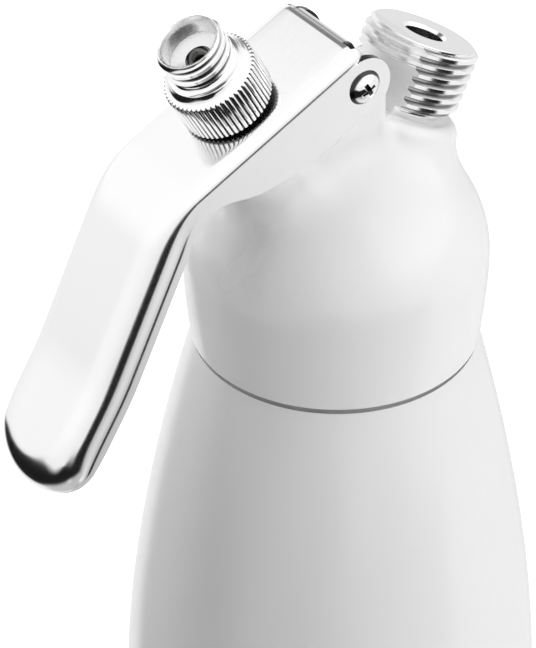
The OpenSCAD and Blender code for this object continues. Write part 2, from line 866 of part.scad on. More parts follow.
module pivot_barrel() {
    color("silver")
        across_pivot()
            translate([0, 0, -lever_half_w])
                difference() {
                    cylinder(r = barrel_r, h = lever_w, $fn = small_fn);
                    translate([0, 0, barrel_end])
                        cylinder(r = screw_r, h = lever_w, $fn = small_fn);
                }
}

module pivot_screw() {
    dome_r = (screw_head_r * screw_head_r + screw_head_h * screw_head_h) / (2 * screw_head_h);
    color("silver")
        across_pivot()
            translate([0, 0, lever_half_w]) {
                translate([0, 0, -screw_l])
                    cylinder(r = screw_r, h = screw_l + eps, $fn = small_fn);
                intersection() {
                    cylinder(r = screw_head_r, h = screw_head_h);
                    translate([0, 0, screw_head_h - dome_r])
                        sphere(r = dome_r);
                }
            }
}

// ---------------------------------------------------------------- inlet

// The thread is a plain cylinder with one of its grooves, which lies at the
// vent flat's upper end, so that the full thread above it is a ring of its own
module charger_inlet() {
    chamfer = inlet_pitch / 2;
    root_r = inlet_thread_r - chamfer;
    groove = inlet_thread_l - flat_top - chamfer / 2;
    color("silver")
        difference() {
            union() {
                on_inlet(inlet_thread_s)
                    rotate_extrude()
                        polygon([
                            [0, 0],
                            [root_r, 0],
                            [inlet_thread_r, chamfer],
                            [inlet_thread_r, groove],
                            [root_r, groove + chamfer / 2],
                            [inlet_thread_r, groove + chamfer],
                            [inlet_thread_r, inlet_thread_l - chamfer],
                            [root_r, inlet_thread_l],
                            [0, inlet_thread_l]
                        ]);
                on_inlet(collar_s)
                    cylinder(r = inlet_neck_r, h = inlet_neck_h + eps);
                on_inlet(shank_s)
                    cylinder(r = shank_r, h = shank_l + eps);
            }
            on_inlet(collar_s)
                translate([-2 * inlet_thread_r, -2 * inlet_thread_r, 0])
                    cube([
                        2 * inlet_thread_r - flat_dist,
                        4 * inlet_thread_r,
                        inlet_top_s - flat_top - collar_s
                    ]);
            on_inlet(seat_low_s)
                cylinder(r = socket_r, h = socket_h + charger_seat_t + 1);
            on_inlet(inlet_top_s - socket_chamfer)
                cylinder(r1 = socket_r, r2 = socket_r + socket_chamfer + eps, h = socket_chamfer + eps);
            on_inlet(pin_low_s)
                cylinder(r = pin_r, h = seat_low_s - pin_low_s + eps, $fn = small_fn);
            on_inlet(shank_s - 1)
                cylinder(r = gas_r, h = pin_low_s - shank_s + 1 + eps, $fn = small_fn);
        }
}

module inlet_washer() {
    color("dimgray")
        on_inlet(shank_s - inlet_washer_t)
            tube(shank_r, gas_r, inlet_washer_t);
}

module piercing_pin() {
    needle_r = 1.2;
    point_h = 1.8;
    color("gray")
        difference() {
            union() {
                on_inlet(pin_low_s)
                    cylinder(r = pin_r, h = seat_low_s - pin_low_s, $fn = small_fn);
                on_inlet(seat_low_s - eps)
                    cylinder(r = needle_r, h = charger_seat_t + needle_h - point_h + eps, $fn = small_fn);
                on_inlet(socket_s + needle_h - point_h - eps)
                    cylinder(r1 = needle_r, r2 = 0.5, h = point_h, $fn = small_fn);
                on_inlet(shank_s)
                    cylinder(r = pin_tail_r, h = pin_low_s - shank_s + eps, $fn = small_fn);
            }
            on_inlet(shank_s + 2)
                cylinder(r = 0.4, h = inlet_top_s, $fn = 24);
            on_inlet(shank_s + 2.5)
                rotate([90, 0, 0])
                    cylinder(r = 0.5, h = 4 * pin_tail_r, center = true, $fn = 24);
        }
}

module charger_seat() {
    color("dimgray")
        on_inlet(seat_low_s)
            tube(socket_r, 1.3, charger_seat_t);
}

module check_sleeve() {
    color("dimgray")
        on_inlet(shank_s + 0.6)
            tube(pin_tail_r + sleeve_wall, pin_tail_r, pin_low_s - shank_s - 1);
}

// ---------------------------------------------------------------- assembly

bottle();
head_gasket();
head_shell();
guide_bush();
stem_seal();
valve_stem();
valve_plate();
valve_rubber();
valve_nut();
slide_washer();
return_spring();
nozzle_adapter();
adapter_washer();
lever();
pivot_barrel();
pivot_screw();
charger_inlet();
inlet_washer();
piercing_pin();
charger_seat();
check_sleeve();
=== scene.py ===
"""Whipped cream dispenser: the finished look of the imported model, in metres in its frame.
Every piece is modelled in millimetres and settled onto the model at the end."""

import json
import math

import bmesh
import bpy
import numpy as np
from mathutils import Matrix, Vector

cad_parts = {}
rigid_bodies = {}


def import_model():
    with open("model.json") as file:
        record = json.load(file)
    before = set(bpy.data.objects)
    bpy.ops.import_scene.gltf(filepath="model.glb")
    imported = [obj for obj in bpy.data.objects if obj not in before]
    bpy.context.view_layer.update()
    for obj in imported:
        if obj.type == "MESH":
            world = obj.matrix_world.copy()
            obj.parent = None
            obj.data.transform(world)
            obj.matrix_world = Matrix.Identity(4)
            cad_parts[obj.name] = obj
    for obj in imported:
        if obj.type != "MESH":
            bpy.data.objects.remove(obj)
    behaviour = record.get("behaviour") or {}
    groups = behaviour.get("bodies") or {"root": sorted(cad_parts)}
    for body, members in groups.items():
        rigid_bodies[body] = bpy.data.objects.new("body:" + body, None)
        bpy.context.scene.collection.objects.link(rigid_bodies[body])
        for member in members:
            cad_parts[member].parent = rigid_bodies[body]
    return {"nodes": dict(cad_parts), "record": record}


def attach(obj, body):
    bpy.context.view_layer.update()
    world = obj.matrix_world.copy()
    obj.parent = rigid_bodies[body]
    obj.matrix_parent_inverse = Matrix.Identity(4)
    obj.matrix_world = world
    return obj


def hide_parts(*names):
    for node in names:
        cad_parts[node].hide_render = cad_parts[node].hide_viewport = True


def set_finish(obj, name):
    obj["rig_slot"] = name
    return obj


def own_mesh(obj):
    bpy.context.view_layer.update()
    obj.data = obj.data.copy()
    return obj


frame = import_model()
for leftover in [o for o in bpy.data.objects if o.name in ("Cube", "Light", "Camera")]:
    bpy.data.objects.remove(leftover)
nodes = frame["nodes"]
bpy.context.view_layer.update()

MM = 0.001

# ------------------ places

SEAM = 168.0
RIM = 184.5
STEM_CROSS = 183.2
STEM_TILT = math.radians(29.15)
INLET_CROSS = 184.1
INLET_TILT = math.radians(25.7)
PIVOT = (-2.6, 227.5)
LEVER_W = 22.2
PLATE_SLOPE = math.radians(25.2)

stem_place = Matrix.Translation((0, 0, STEM_CROSS)) @ Matrix.Rotation(-STEM_TILT, 4, "Y")
inlet_place = Matrix.Translation((0, 0, INLET_CROSS)) @ Matrix.Rotation(INLET_TILT, 4, "Y")
plate_place = Matrix.Translation((PIVOT[0], 0, PIVOT[1])) @ Matrix.Rotation(-PLATE_SLOPE, 4, "Y")
across_place = Matrix.Translation((PIVOT[0], 0, PIVOT[1])) @ Matrix.Rotation(math.pi / 2, 4, "X")


# ------------------ bench


def pick(*objs):
    """Only these objects are selected, and the last one is active."""
    bpy.ops.object.select_all(action="DESELECT")
    for o in objs:
        o.select_set(True)
    bpy.context.view_layer.objects.active = objs[-1]


def open_up(obj, mode="VERT", everything=False):
    """Edit mode, with everything or nothing selected."""
    pick(obj)
    bpy.ops.object.mode_set(mode="EDIT")
    bpy.ops.mesh.select_mode(type=mode)
    bpy.ops.mesh.select_all(action="SELECT" if everything else "DESELECT")
    return bmesh.from_edit_mesh(obj.data)


def close_up():
    bpy.ops.object.mode_set(mode="OBJECT")


def fresh(name):
    """The primitive that was just added, named."""
    obj = bpy.context.active_object
    obj.name = obj.data.name = name
    return obj


def choose(obj, mode, test):
    """In edit mode, selects the vertices, edges or faces that pass the test."""
    bm = open_up(obj, mode)
    items = {"VERT": bm.verts, "EDGE": bm.edges, "FACE": bm.faces}[mode]
    items.ensure_lookup_table()
    for item in items:
        item.select_set(bool(test(item)))
    bm.select_flush_mode()
    bmesh.update_edit_mesh(obj.data)
    return bm


def freeze():
    """The active object's place goes into its mesh."""
    bpy.ops.object.transform_apply(location=True, rotation=True, scale=True)


def extrude(way):
    bpy.ops.mesh.extrude_region_move(TRANSFORM_OT_translate={"value": way})


def apply_modifier(obj, kind, **settings):
    """A modifier, set and applied at once."""
    pick(obj)
    m = obj.modifiers.new(kind.title(), kind)
    for key, value in settings.items():
        setattr(m, key, value)
    bpy.ops.object.modifier_apply(modifier=m.name)
    return obj


def face_out(obj, merge=0.0005):
    """Doubled points merged and every face turned outward."""
    open_up(obj, everything=True)
    bpy.ops.mesh.remove_doubles(threshold=merge)
    bpy.ops.mesh.normals_make_consistent(inside=False)
    close_up()
    return obj


def cut(obj, cutter, how="DIFFERENCE"):
    """A boolean that uses up its cutter."""
    apply_modifier(obj, "BOOLEAN", operation=how, object=cutter, solver="EXACT")
    bpy.data.objects.remove(cutter)
    return obj


def join(*objs):
    pick(*objs)
    bpy.ops.object.join()
    return bpy.context.active_object


def soften(obj, width):
    """Small rounds on the sharp edges."""
    apply_modifier(
        obj, "BEVEL", width=width, segments=2, limit_method="ANGLE",
        angle_limit=math.radians(40), harden_normals=False, use_clamp_overlap=True,
    )
    return obj


def shade(obj, angle=32):
    pick(obj)
    bpy.ops.object.shade_smooth_by_angle(angle=math.radians(angle))
    return obj


def true_flats(obj, angle=35, flat=8.0):
    """Smooth rounds beside large flats, of over flat square millimetres, that mirror as flats."""
    shade(obj, angle)
    choose(obj, "EDGE", lambda e: any(f.calc_area() > flat for f in e.link_faces))
    bpy.ops.mesh.mark_sharp()
    close_up()
    return obj


def settle(obj, place=Matrix.Identity(4)):
    """From millimetres on the bench to metres on the model."""
    pick(obj)
    obj.matrix_world = Matrix.Scale(MM, 4) @ place
    freeze()
    return obj


def rings_up(obj, rings):
    """Extrudes the selected edge loop from ring to ring; each ring is a function from a vertex's
    index in the first loop to its new place."""
    bm = bmesh.from_edit_mesh(obj.data)
    index = {v: i for i, v in enumerate(bm.verts) if v.select}
    for ring in rings:
        bpy.ops.mesh.extrude_region()
        bm = bmesh.from_edit_mesh(obj.data)
        moved = {}
        for v in bm.verts:
            if v.select:
                for e in v.link_edges:
                    w = e.other_vert(v)
                    if w in index and not w.select:
                        moved[v] = index[w]
        for v, i in moved.items():
            v.co = ring(i)
        index = moved
        bmesh.update_edit_mesh(obj.data)


def arc(cx, cz, r, start, stop, steps):
    return [
        (cx + r * math.cos(math.radians(start + (stop - start) * i / steps)),
         cz + r * math.sin(math.radians(start + (stop - start) * i / steps)))
        for i in range(steps + 1)
    ]


def turned(name, profile, sides=128):
    """A lathe piece: one circle, extruded and scaled from point to point of its profile."""
    r_now, z_now = profile[0]
    bpy.ops.mesh.primitive_circle_add(
        vertices=sides, radius=r_now, location=(0, 0, z_now), fill_type="NGON"
    )
    obj = fresh(name)
    freeze()
    open_up(obj, "EDGE", everything=True)
    for r, z in profile[1:]:
        extrude((0, 0, z - z_now))
        bpy.ops.transform.resize(value=(r / r_now, r / r_now, 1), center_override=(0, 0, z))
        r_now, z_now = r, z
    bpy.ops.mesh.edge_face_add()
    close_up()
    return face_out(obj)


def line(name, points):
    """A chain of edges, extruded from one vertex."""
    bpy.ops.mesh.primitive_plane_add(size=1, location=(0, 0, 0))
    obj = fresh(name)
    open_up(obj, everything=True)
    bpy.ops.mesh.merge(type="CENTER")
    bpy.ops.transform.translate(value=points[0])
    for a, b in zip(points, points[1:]):
        extrude(tuple(q - p for p, q in zip(a, b)))
    close_up()
    return obj


def threaded(name, crest, root, pitch, low, high, crest_at, sides=128, foot=0.22):
    """A threaded bar: one line through all the turns, screwed once round so that it meets itself
    a pitch higher, and cut level at both ends. crest_at is where a crest passes angle 0, and
    crown and foot are the shares of the pitch that crest and root take."""
    crown = 0.34
    shape = []
    for i in range(12):
        t = i / 12
        rise = abs(2 * t - 1)
        flank = min(1, max(0, (rise - foot) / (1 - crown - foot)))
        shape.append((t, root + (crest - root) * flank * flank * (3 - 2 * flank)))
    first = math.floor((low - crest_at) / pitch) - 2
    last = math.ceil((high - crest_at) / pitch) + 2
    obj = line(name, [
        (r, 0, crest_at + pitch * (k + t)) for k in range(first, last) for t, r in shape
    ])
    apply_modifier(
        obj, "SCREW", angle=2 * math.pi, screw_offset=pitch, steps=sides, render_steps=sides,
        axis="Z", use_merge_vertices=False,
    )
    face_out(obj)
    for z, side in ((low, True), (high, False)):
        open_up(obj, everything=True)
        bpy.ops.mesh.bisect(
            plane_co=(0, 0, z), plane_no=(0, 0, 1), use_fill=True,
            clear_inner=side, clear_outer=not side,
        )
        close_up()
    return face_out(obj, 0.0001)


def rod(name, r, low, high, sides=64):
    bpy.ops.mesh.primitive_cylinder_add(
        vertices=sides, radius=r, depth=high - low, location=(0, 0, (low + high) / 2)
    )
    obj = fresh(name)
    freeze()
    return obj


def block(name, low, high):
    size = [b - a for a, b in zip(low, high)]
    middle = [(a + b) / 2 for a, b in zip(low, high)]
    bpy.ops.mesh.primitive_cube_add(size=1, location=middle, scale=size)
    obj = fresh(name)
    freeze()
    return obj


def put(obj, place):
    """Moves a bench piece to its place, still in millimetres."""
    pick(obj)
    obj.matrix_world = place
    freeze()
    return obj


# ------------------ bottle


BOTTLE_R = 42.46
NECK_R, MOUTH_R, WALL = 24.0, 21.6, 1.6


def bezier(a, b, c, t):
    """A point of the curve from a to c that b pulls towards itself."""
    return tuple((1 - t) ** 2 * p + 2 * t * (1 - t) * q + t * t * s for p, q, s in zip(a, b, c))


def bottle_side(inset):
    """Shoulder, belly and foot of a bottle that is thinner by inset all round."""
    wide = BOTTLE_R - inset
    top, bend = (27.62 - inset, 166.72), (wide, 112.0)
    belly, taper, corner = (wide, 70.0), (wide, 31.5), (40.5 - inset, 7.0)
    side = [bezier(top, bend, belly, i / 30) for i in range(31)]
    side += [bezier(belly, taper, corner, i / 14) for i in range(1, 14)]
    return side + arc(33.5, 7.0, 7.0 - inset, 0, -90, 10)


def make_bottle():
    profile = bottle_side(0)[::-1]
    profile += [(27.42, 166.6), (26.4, 165.6), (24.3, 165.4), (NECK_R, 165.7), (NECK_R, 168.2)]
    for i in range(4):
        groove = 171.0 + 3.2 * i
        profile += [(NECK_R, groove - 1.0), (23.35, groove - 0.45)]
        profile += [(23.35, groove + 0.45), (NECK_R, groove + 1.0)]
    profile += [(NECK_R, 183.9), (23.82, 184.32), (23.4, RIM), (22.2, RIM), (21.7, 184.25)]
    profile += [(MOUTH_R, 183.7), (MOUTH_R, 164.0)]
    return turned("bottle_body", profile + bottle_side(WALL)[1:], 160)


bottle = make_bottle()
settle(shade(bottle, 40))

# ------------------ head

DOME_R, DOME_H, DOME_Z = 29.1, 26.0, 185.0
EDGE_R, EDGE_RISE, EDGE_OUT, EDGE_SLOPE = 28, 17, 1.1, 0.1016
BORE_R = 24.3
BRIDGE_HALF_W, LUG_R = 9.2, 4.9
BOSS_R, BOSS_TOP = 9.3, 35.5
COLLAR_R, COLLAR_TOP = 12.6, 31.6
VOXEL = 0.62
STEM = np.array((-math.sin(STEM_TILT), 0, math.cos(STEM_TILT)))
INLET = np.array((math.sin(INLET_TILT), 0, math.cos(INLET_TILT)))
BRIDGE = np.array([
    (-8.65, 198.70), (-16.32, 212.46), (-7.67, 217.28), (-10.42, 225.71), (-4.69, 231.93),
    (2.23, 226.65), (4.6, 224.65), (4.6, 212.0), (13.9, 206.0), (13.9, 200.0),
])


def near_union(a, b, k):
    """The nearer of two distances, run together over k millimetres as a fillet."""
    h = np.maximum(k - np.abs(a - b), 0) / k
    return np.minimum(a, b) - h * h * k / 4


def off_dome(p):
    """Distance from the dome, and below it from the side that widens up from the seam."""
    rho = np.hypot(p[:, 0], p[:, 1])
    z = p[:, 2]
    up = z - DOME_Z
    q = np.maximum(np.sqrt((rho / DOME_R) ** 2 + (up / DOME_H) ** 2), 1e-6)
    slope = np.sqrt((rho / DOME_R**2) ** 2 + (up / DOME_H**2) ** 2) / q
    high = (q - 1) / np.maximum(slope, 1e-6)
    turn = np.clip((z - SEAM) / EDGE_RISE, 0, 1) * math.pi / 2
    wide = EDGE_R + EDGE_OUT * np.sin(turn) + np.minimum(z - SEAM, 0) * EDGE_SLOPE
    low = (rho - wide) / np.sqrt(1 + (EDGE_SLOPE * np.cos(turn)) ** 2)
    return np.where(up > 0, high, low)


def rounded(a, b, edge):
    """Two distances as one, with a round where both are near 0."""
    return np.minimum(np.maximum(a, b), 0) + np.hypot(np.maximum(a, 0), np.maximum(b, 0)) - edge


def off_bar(p, axis, height, r, top, low, edge):
    """Distance from a round bar along an axis through the bottle's axis, with a rounded rim."""
    q = p - np.array((0, 0, height))
    s = q @ axis
    side = np.sqrt(np.maximum((q * q).sum(1) - s * s, 0)) - r + edge
    end = np.maximum(s - top, low - s) + edge
    return rounded(side, end, edge)


def off_bridge(p, edge):
    """Distance from the bridge with its lug."""
    x, z = p[:, 0], p[:, 2]
    count = len(BRIDGE)
    gap = np.full(len(p), 1e9)
    inside = np.zeros(len(p), bool)
    for i in range(count):
        a, b = BRIDGE[i], BRIDGE[(i + 1) % count]
        ab = b - a
        t = np.clip(((x - a[0]) * ab[0] + (z - a[1]) * ab[1]) / (ab @ ab), 0, 1)
        gap = np.minimum(gap, np.hypot(x - a[0] - t * ab[0], z - a[1] - t * ab[1]))
        crosses = (a[1] > z) != (b[1] > z)
        with np.errstate(divide="ignore", invalid="ignore"):
            at = a[0] + (z - a[1]) * ab[0] / (ab[1] if ab[1] else 1e-9)
        inside ^= crosses & (x < at)
    flat = np.where(inside, -gap, gap)
    lug = np.hypot(x - PIVOT[0], z - PIVOT[1]) - LUG_R
    flat = near_union(flat, lug, 1.2) + edge
    side = np.abs(p[:, 1]) - BRIDGE_HALF_W + edge
    return rounded(flat, side, edge)


def off_head(p):
    bridge = off_bridge(p, 1.5)
    boss = off_bar(p, STEM, STEM_CROSS, BOSS_R, BOSS_TOP, 8, 0.9)
    collar = off_bar(p, INLET, INLET_CROSS, COLLAR_R, COLLAR_TOP, 8, 2.2)
    upper = near_union(near_union(bridge, boss, 1.4), collar, 3.0)
    return near_union(off_dome(p), upper, 6.5)


def press_to_head(obj, rounds=6):
    """Moves every vertex of the rough head straight onto the finished form."""
    mesh = obj.data
    co = np.empty(len(mesh.vertices) * 3, np.float32)
    mesh.vertices.foreach_get("co", co)
    p = co.reshape(-1, 3).astype(float)
    step = 0.02
    for _ in range(rounds):
        here = off_head(p)
        grad = np.stack(
            [off_head(p + step * e) - off_head(p - step * e) for e in np.eye(3)], 1
        ) / (2 * step)
        size = np.maximum((grad * grad).sum(1), 0.2)
        p -= (np.clip(here, -1.5, 1.5) / size)[:, None] * grad
    mesh.vertices.foreach_set("co", p.astype(np.float32).ravel())
    mesh.update()


def make_head():
    core = [(27.4, 161.5), (28.6, 173), (29.1, 180)]
    for degrees in range(0, 88, 6):
        a = math.radians(degrees)
        core.append((DOME_R * math.cos(a), DOME_Z + DOME_H * math.sin(a)))
    dome = turned("head_casting", core, 96)
    bpy.ops.mesh.primitive_circle_add(vertices=len(BRIDGE), radius=1, fill_type="NGON")
    bridge = fresh("bridge_block")
    for v, (x, z) in zip(bridge.data.vertices, BRIDGE):
        v.co = (x, -BRIDGE_HALF_W, z)
    open_up(bridge, everything=True)
    extrude((0, 2 * BRIDGE_HALF_W, 0))
    close_up()
    face_out(bridge)
    lug = put(rod("lug_disc", LUG_R, -BRIDGE_HALF_W, BRIDGE_HALF_W), across_place)
    boss = put(rod("boss_bar", BOSS_R, 12, BOSS_TOP), stem_place)
    collar = put(rod("collar_bar", COLLAR_R, 12, COLLAR_TOP), inlet_place)
    head = join(bridge, lug, boss, collar, dome)
    apply_modifier(head, "REMESH", mode="VOXEL", voxel_size=VOXEL, adaptivity=0)
    press_to_head(head)
    apply_modifier(head, "SMOOTH", factor=0.5, iterations=2)
    press_to_head(head, 4)
    open_up(head, everything=True)
    bpy.ops.mesh.bisect(plane_co=(0, 0, SEAM), plane_no=(0, 0, 1), clear_inner=True)
    close_up()
    choose(head, "EDGE", lambda e: e.is_boundary)
    for r_from, r_to, rise in (
        (EDGE_R, 27.75, 0), (27.75, BORE_R, 0), (BORE_R, BORE_R, 19), (BORE_R, 18, 0), (18, 14.5, 8)
    ):
        extrude((0, 0, rise))
        share = r_to / r_from
        bpy.ops.transform.resize(value=(share, share, 1), center_override=(0, 0, SEAM))
    bpy.ops.mesh.edge_face_add()
    close_up()
    face_out(head, 0.0002)
    for bore, r, low, high, place in (
        ("valve_bore", 7, -2, 16, stem_place),
        ("chamber_bore", 5.66, 15.9, 26.6, stem_place),
        ("bush_bore", 5.8, 26.5, 42, stem_place),
        ("inlet_bore", 8, 19.1, 46, inlet_place),
        ("gas_bore", 2.6, 4, 20, inlet_place),
        ("lug_bore", 2.66, -11, 11, across_place),
    ):
        cut(head, put(rod(bore, r, low, high), place))
    return head


head = make_head()
settle(shade(head, 45))

# ------------------ lever

SHEET = 1.5
BEND_R, FLARE_R = 21.0, 60.0
GRIP_SLOPE, TIP_SLOPE = math.radians(63.8), math.radians(57.6)
PLATE_L, GRIP_L, TIP_L = 40.0, 24.5, 20.82
BEND_L = BEND_R * (GRIP_SLOPE - PLATE_SLOPE)
FLARE_L = FLARE_R * (GRIP_SLOPE - TIP_SLOPE)
LEVER_L = PLATE_L + BEND_L + GRIP_L + FLARE_L + TIP_L
HALF_W = LEVER_W / 2
OVER_PIVOT, PAST_PIVOT, CORNER = 8.5, 3.2, 3.0
PLATE_DEPTH = 6.8
EAR_R, EAR_TOP = 5.75, 5.6
BARREL_R = 2.6
SLOT = (-19.94, -18.69)
SLOT_R = 3.9
RELIEF_IN, RELIEF_HALF_W = 1.3, 1.2
TIP_BOW = 9.0
BOW_START = 1.6 * TIP_BOW


def down(a):
    """The way along the lever's face, in XZ, where it slopes by a."""
    return np.array((-math.cos(a), -math.sin(a)))


def out(a):
    """The way out of that face."""
    return np.array((-math.sin(a), math.cos(a)))


lever_start = np.array(PIVOT) + OVER_PIVOT * out(PLATE_SLOPE) - PAST_PIVOT * down(PLATE_SLOPE)
bend_start = lever_start + PLATE_L * down(PLATE_SLOPE)
bend_centre = bend_start - BEND_R * out(PLATE_SLOPE)
grip_start = bend_centre + BEND_R * out(GRIP_SLOPE)
flare_start = grip_start + GRIP_L * down(GRIP_SLOPE)
flare_centre = flare_start + FLARE_R * out(GRIP_SLOPE)
tip_start = flare_centre - FLARE_R * out(TIP_SLOPE)


def lever_slope(u):
    """Slope of the face at u millimetres from its upper end."""
    if u < PLATE_L:
        return PLATE_SLOPE
    if u < PLATE_L + BEND_L:
        return PLATE_SLOPE + (u - PLATE_L) / BEND_R
    if u < PLATE_L + BEND_L + GRIP_L:
        return GRIP_SLOPE
    return max(TIP_SLOPE, GRIP_SLOPE - (u - PLATE_L - BEND_L - GRIP_L) / FLARE_R)


def lever_face(u):
    a = lever_slope(u)
    if u < PLATE_L:
        return lever_start + u * down(a)
    if u < PLATE_L + BEND_L:
        return bend_centre + BEND_R * out(a)
    if u < PLATE_L + BEND_L + GRIP_L:
        return grip_start + (u - PLATE_L - BEND_L) * down(a)
    if u < LEVER_L - TIP_L:
        return flare_centre - FLARE_R * out(a)
    return tip_start + (u - LEVER_L + TIP_L) * down(a)


def lever_point(u, y, depth):
    """A point at depth millimetres under the face."""
    p = lever_face(u) - depth * out(lever_slope(u))
    return (p[0], y, p[1])


def ramp(t):
    """A soft step from 0 to 1."""
    c = max(0.0, min(1.0, t))
    return c * c * (3 - 2 * c)


def along_tip(u):
    return ramp((u - LEVER_L + BOW_START) / BOW_START)


def along_bend(u):
    return ramp((u - PLATE_L) / BEND_L)


def edge_round(u):
    return 2.6 + 1.6 * along_bend(u) + 2.8 * along_tip(u)


def side_depth(u):
    flange = 1 - ramp((u - CORNER) / CORNER)
    return PLATE_DEPTH + 2.0 * along_bend(u) - 1.0 * along_tip(u) - 3.4 * flange


def side_dent(share):
    """How far the pressed side wall draws in on its way down; the step out again shows as a line."""
    return 0.07 * (ramp(share / 0.5) - ramp((share - 0.5) / 0.18))


def lever_rows():
    """Places down one side of the flat blank, each with its outward direction."""
    rows = []
    for i in range(9):
        a = math.pi / 2 * i / 8
        u = CORNER - CORNER * math.cos(a)
        rows.append((u, HALF_W - CORNER + CORNER * math.sin(a), -math.cos(a), math.sin(a)))
    bend_stop = PLATE_L + BEND_L
    stops = [
        (CORNER, PLATE_L, 22), (PLATE_L, bend_stop, 26), (bend_stop, bend_stop + GRIP_L, 14),
        (bend_stop + GRIP_L, LEVER_L - TIP_L, 6), (LEVER_L - TIP_L, LEVER_L - TIP_BOW, 10),
    ]
    for a, b, n in stops:
        rows += [(a + (b - a) * i / n, HALF_W, 0, 1) for i in range(1, n + 1)]
    for i in range(1, 31):
        a = math.pi / 2 * i / 30
        slant = math.hypot(math.sin(a) / TIP_BOW, math.cos(a) / HALF_W)
        rows.append((LEVER_L - TIP_BOW + TIP_BOW * math.sin(a), HALF_W * math.cos(a),
                     math.sin(a) / TIP_BOW / slant, math.cos(a) / HALF_W / slant))
    return rows


def make_pressing():
    """The flat of the face is a sheet of rows, and its rim is extruded down the round and the
    side. A level of the rim gives its step inward and its depth at u."""
    rows = lever_rows()
    columns, turn = 9, 12
    side_shares = (0.12, 0.25, 0.38, 0.5, 0.545, 0.59, 0.635, 0.68, 0.8, 0.9, 1.0)
    bpy.ops.mesh.primitive_grid_add(
        x_subdivisions=len(rows) - 1, y_subdivisions=columns - 1, size=2
    )
    obj = fresh("lever_pressing")
    places = []
    for v in obj.data.vertices:
        row = round((v.co.x + 1) / 2 * (len(rows) - 1))
        column = round((v.co.y + 1) / 2 * (columns - 1))
        places.append((rows[row], 2 * column / (columns - 1) - 1))

    def round_level(k):
        a = math.pi / 2 * k / turn
        return lambda u: (edge_round(u) * (1 - math.sin(a)), edge_round(u) * (1 - math.cos(a)))

    def side_level(share):
        return lambda u: (
            side_dent(share) * along_bend(u), edge_round(u) + (side_depth(u) - edge_round(u)) * share
        )

    def spot(i, level):
        (u, y, nu, ny), across = places[i]
        step, depth = level(u)
        return lever_point(u - step * nu, (y - step * ny) * across, depth)

    for i, v in enumerate(obj.data.vertices):
        v.co = spot(i, round_level(0))
    levels = [round_level(k) for k in range(1, turn + 1)] + [side_level(s) for s in side_shares]
    choose(obj, "EDGE", lambda e: e.is_boundary)
    rings_up(obj, [(lambda i, level=level: spot(i, level)) for level in levels])
    close_up()
    face_out(obj, 0.002)
    return apply_modifier(
        obj, "SOLIDIFY", thickness=SHEET, offset=-1, use_even_offset=True, use_quality_normals=True
    )


def smooth_run(points, steps=6):
    """Extra points between the given ones, so that the line runs smoothly through them."""
    run = []
    for i in range(len(points) - 1):
        p0, p1 = np.array(points[max(i - 1, 0)]), np.array(points[i])
        p2, p3 = np.array(points[i + 1]), np.array(points[min(i + 2, len(points) - 1)])
        for k in range(steps):
            t = k / steps
            run.append(0.5 * (2 * p1 + (p2 - p0) * t + (2 * p0 - 5 * p1 + 4 * p2 - p3) * t * t
                              + (3 * p1 - p0 - 3 * p2 + p3) * t**3))
    return [tuple(p) for p in run] + [tuple(points[-1])]


def ear_outline():
    """The ear's side view, along the plate and square to it, from the pivot."""
    r, low = EAR_R, OVER_PIVOT - PLATE_DEPTH
    edge = [(-6.1, -0.05), (-5.5, 0.19), (-5, 0.44), (-4.4, 0.66), (-3.3, 0.9), (-2.0, 1), (0, 1)]
    run = smooth_run([(a * r, low - b * (low + r)) for a, b in edge])
    round_up = arc(0, 0, r, -90, math.degrees(math.asin(EAR_TOP / r)), 40)[1:]
    return [(-6.3 * r, EAR_TOP), (-6.3 * r, low + 0.1)] + run + round_up


def make_ear(side):
    outline = ear_outline()
    bpy.ops.mesh.primitive_circle_add(vertices=len(outline), radius=1, fill_type="NGON")
    ear = fresh("ear_plate")
    inner = side * (HALF_W - SHEET)
    for v, (x, z) in zip(ear.data.vertices, outline):
        v.co = (x, inner, z)
    open_up(ear, everything=True)
    extrude((0, side * SHEET, 0))
    close_up()
    return put(face_out(ear), plate_place)


def make_lever():
    lever = make_pressing()
    for side in (-1, 1):
        cut(lever, make_ear(side), "UNION")
    cut(lever, put(rod("barrel_hole", BARREL_R, -14, 14), across_place))
    slot = rod("stem_slot", SLOT_R, 4, 12, 48)
    choose(slot, "VERT", lambda v: v.co.x > 0.01)
    bpy.ops.transform.translate(value=(SLOT[1] - SLOT[0], 0, 0))
    close_up()
    cut(lever, put(slot, plate_place @ Matrix.Translation((SLOT[0], 0, 0))))
    for side in (-1, 1):
        middle = side * (HALF_W - SHEET - RELIEF_IN)
        low, high = (1.5, middle - RELIEF_HALF_W, -3), (8.0, middle + RELIEF_HALF_W, 12)
        cut(lever, put(block("relief", low, high), plate_place))
    return lever


lever = make_lever()
settle(shade(lever, 30))

# ------------------ inlet


def make_inlet():
    body = threaded("inlet_body", 11.0, 9.8, 2.0, 33.2, 46.0, 45.216, 144)
    cut(body, turned("inlet_envelope", [
        (9.7, 33.1), (9.7, 33.2), (11.2, 34.4), (11.2, 44.9), (9.95, 46.0), (9.95, 46.1)
    ], 144), "INTERSECT")
    cut(body, turned("inlet_shank", [
        (7.9, 20.1), (8.0, 20.3), (8.0, 31.58), (8.9, 31.6), (9.0, 31.75), (9.0, 33.3)
    ], 144), "UNION")
    cut(body, block("vent_cutter", (-30, -30, 31.6), (-6.6, 30, 41.4)))
    cut(body, turned("socket_cutter", [
        (2.6, 19.0), (2.6, 25.1), (2.8, 25.1), (2.8, 35.5), (3.75, 35.5), (3.75, 45.4), (4.35, 46.0),
        (4.6, 46.3)
    ], 96))
    return body


inlet = make_inlet()
soften(inlet, 0.09)
settle(true_flats(inlet), inlet_place)

# ------------------ nozzle adapter


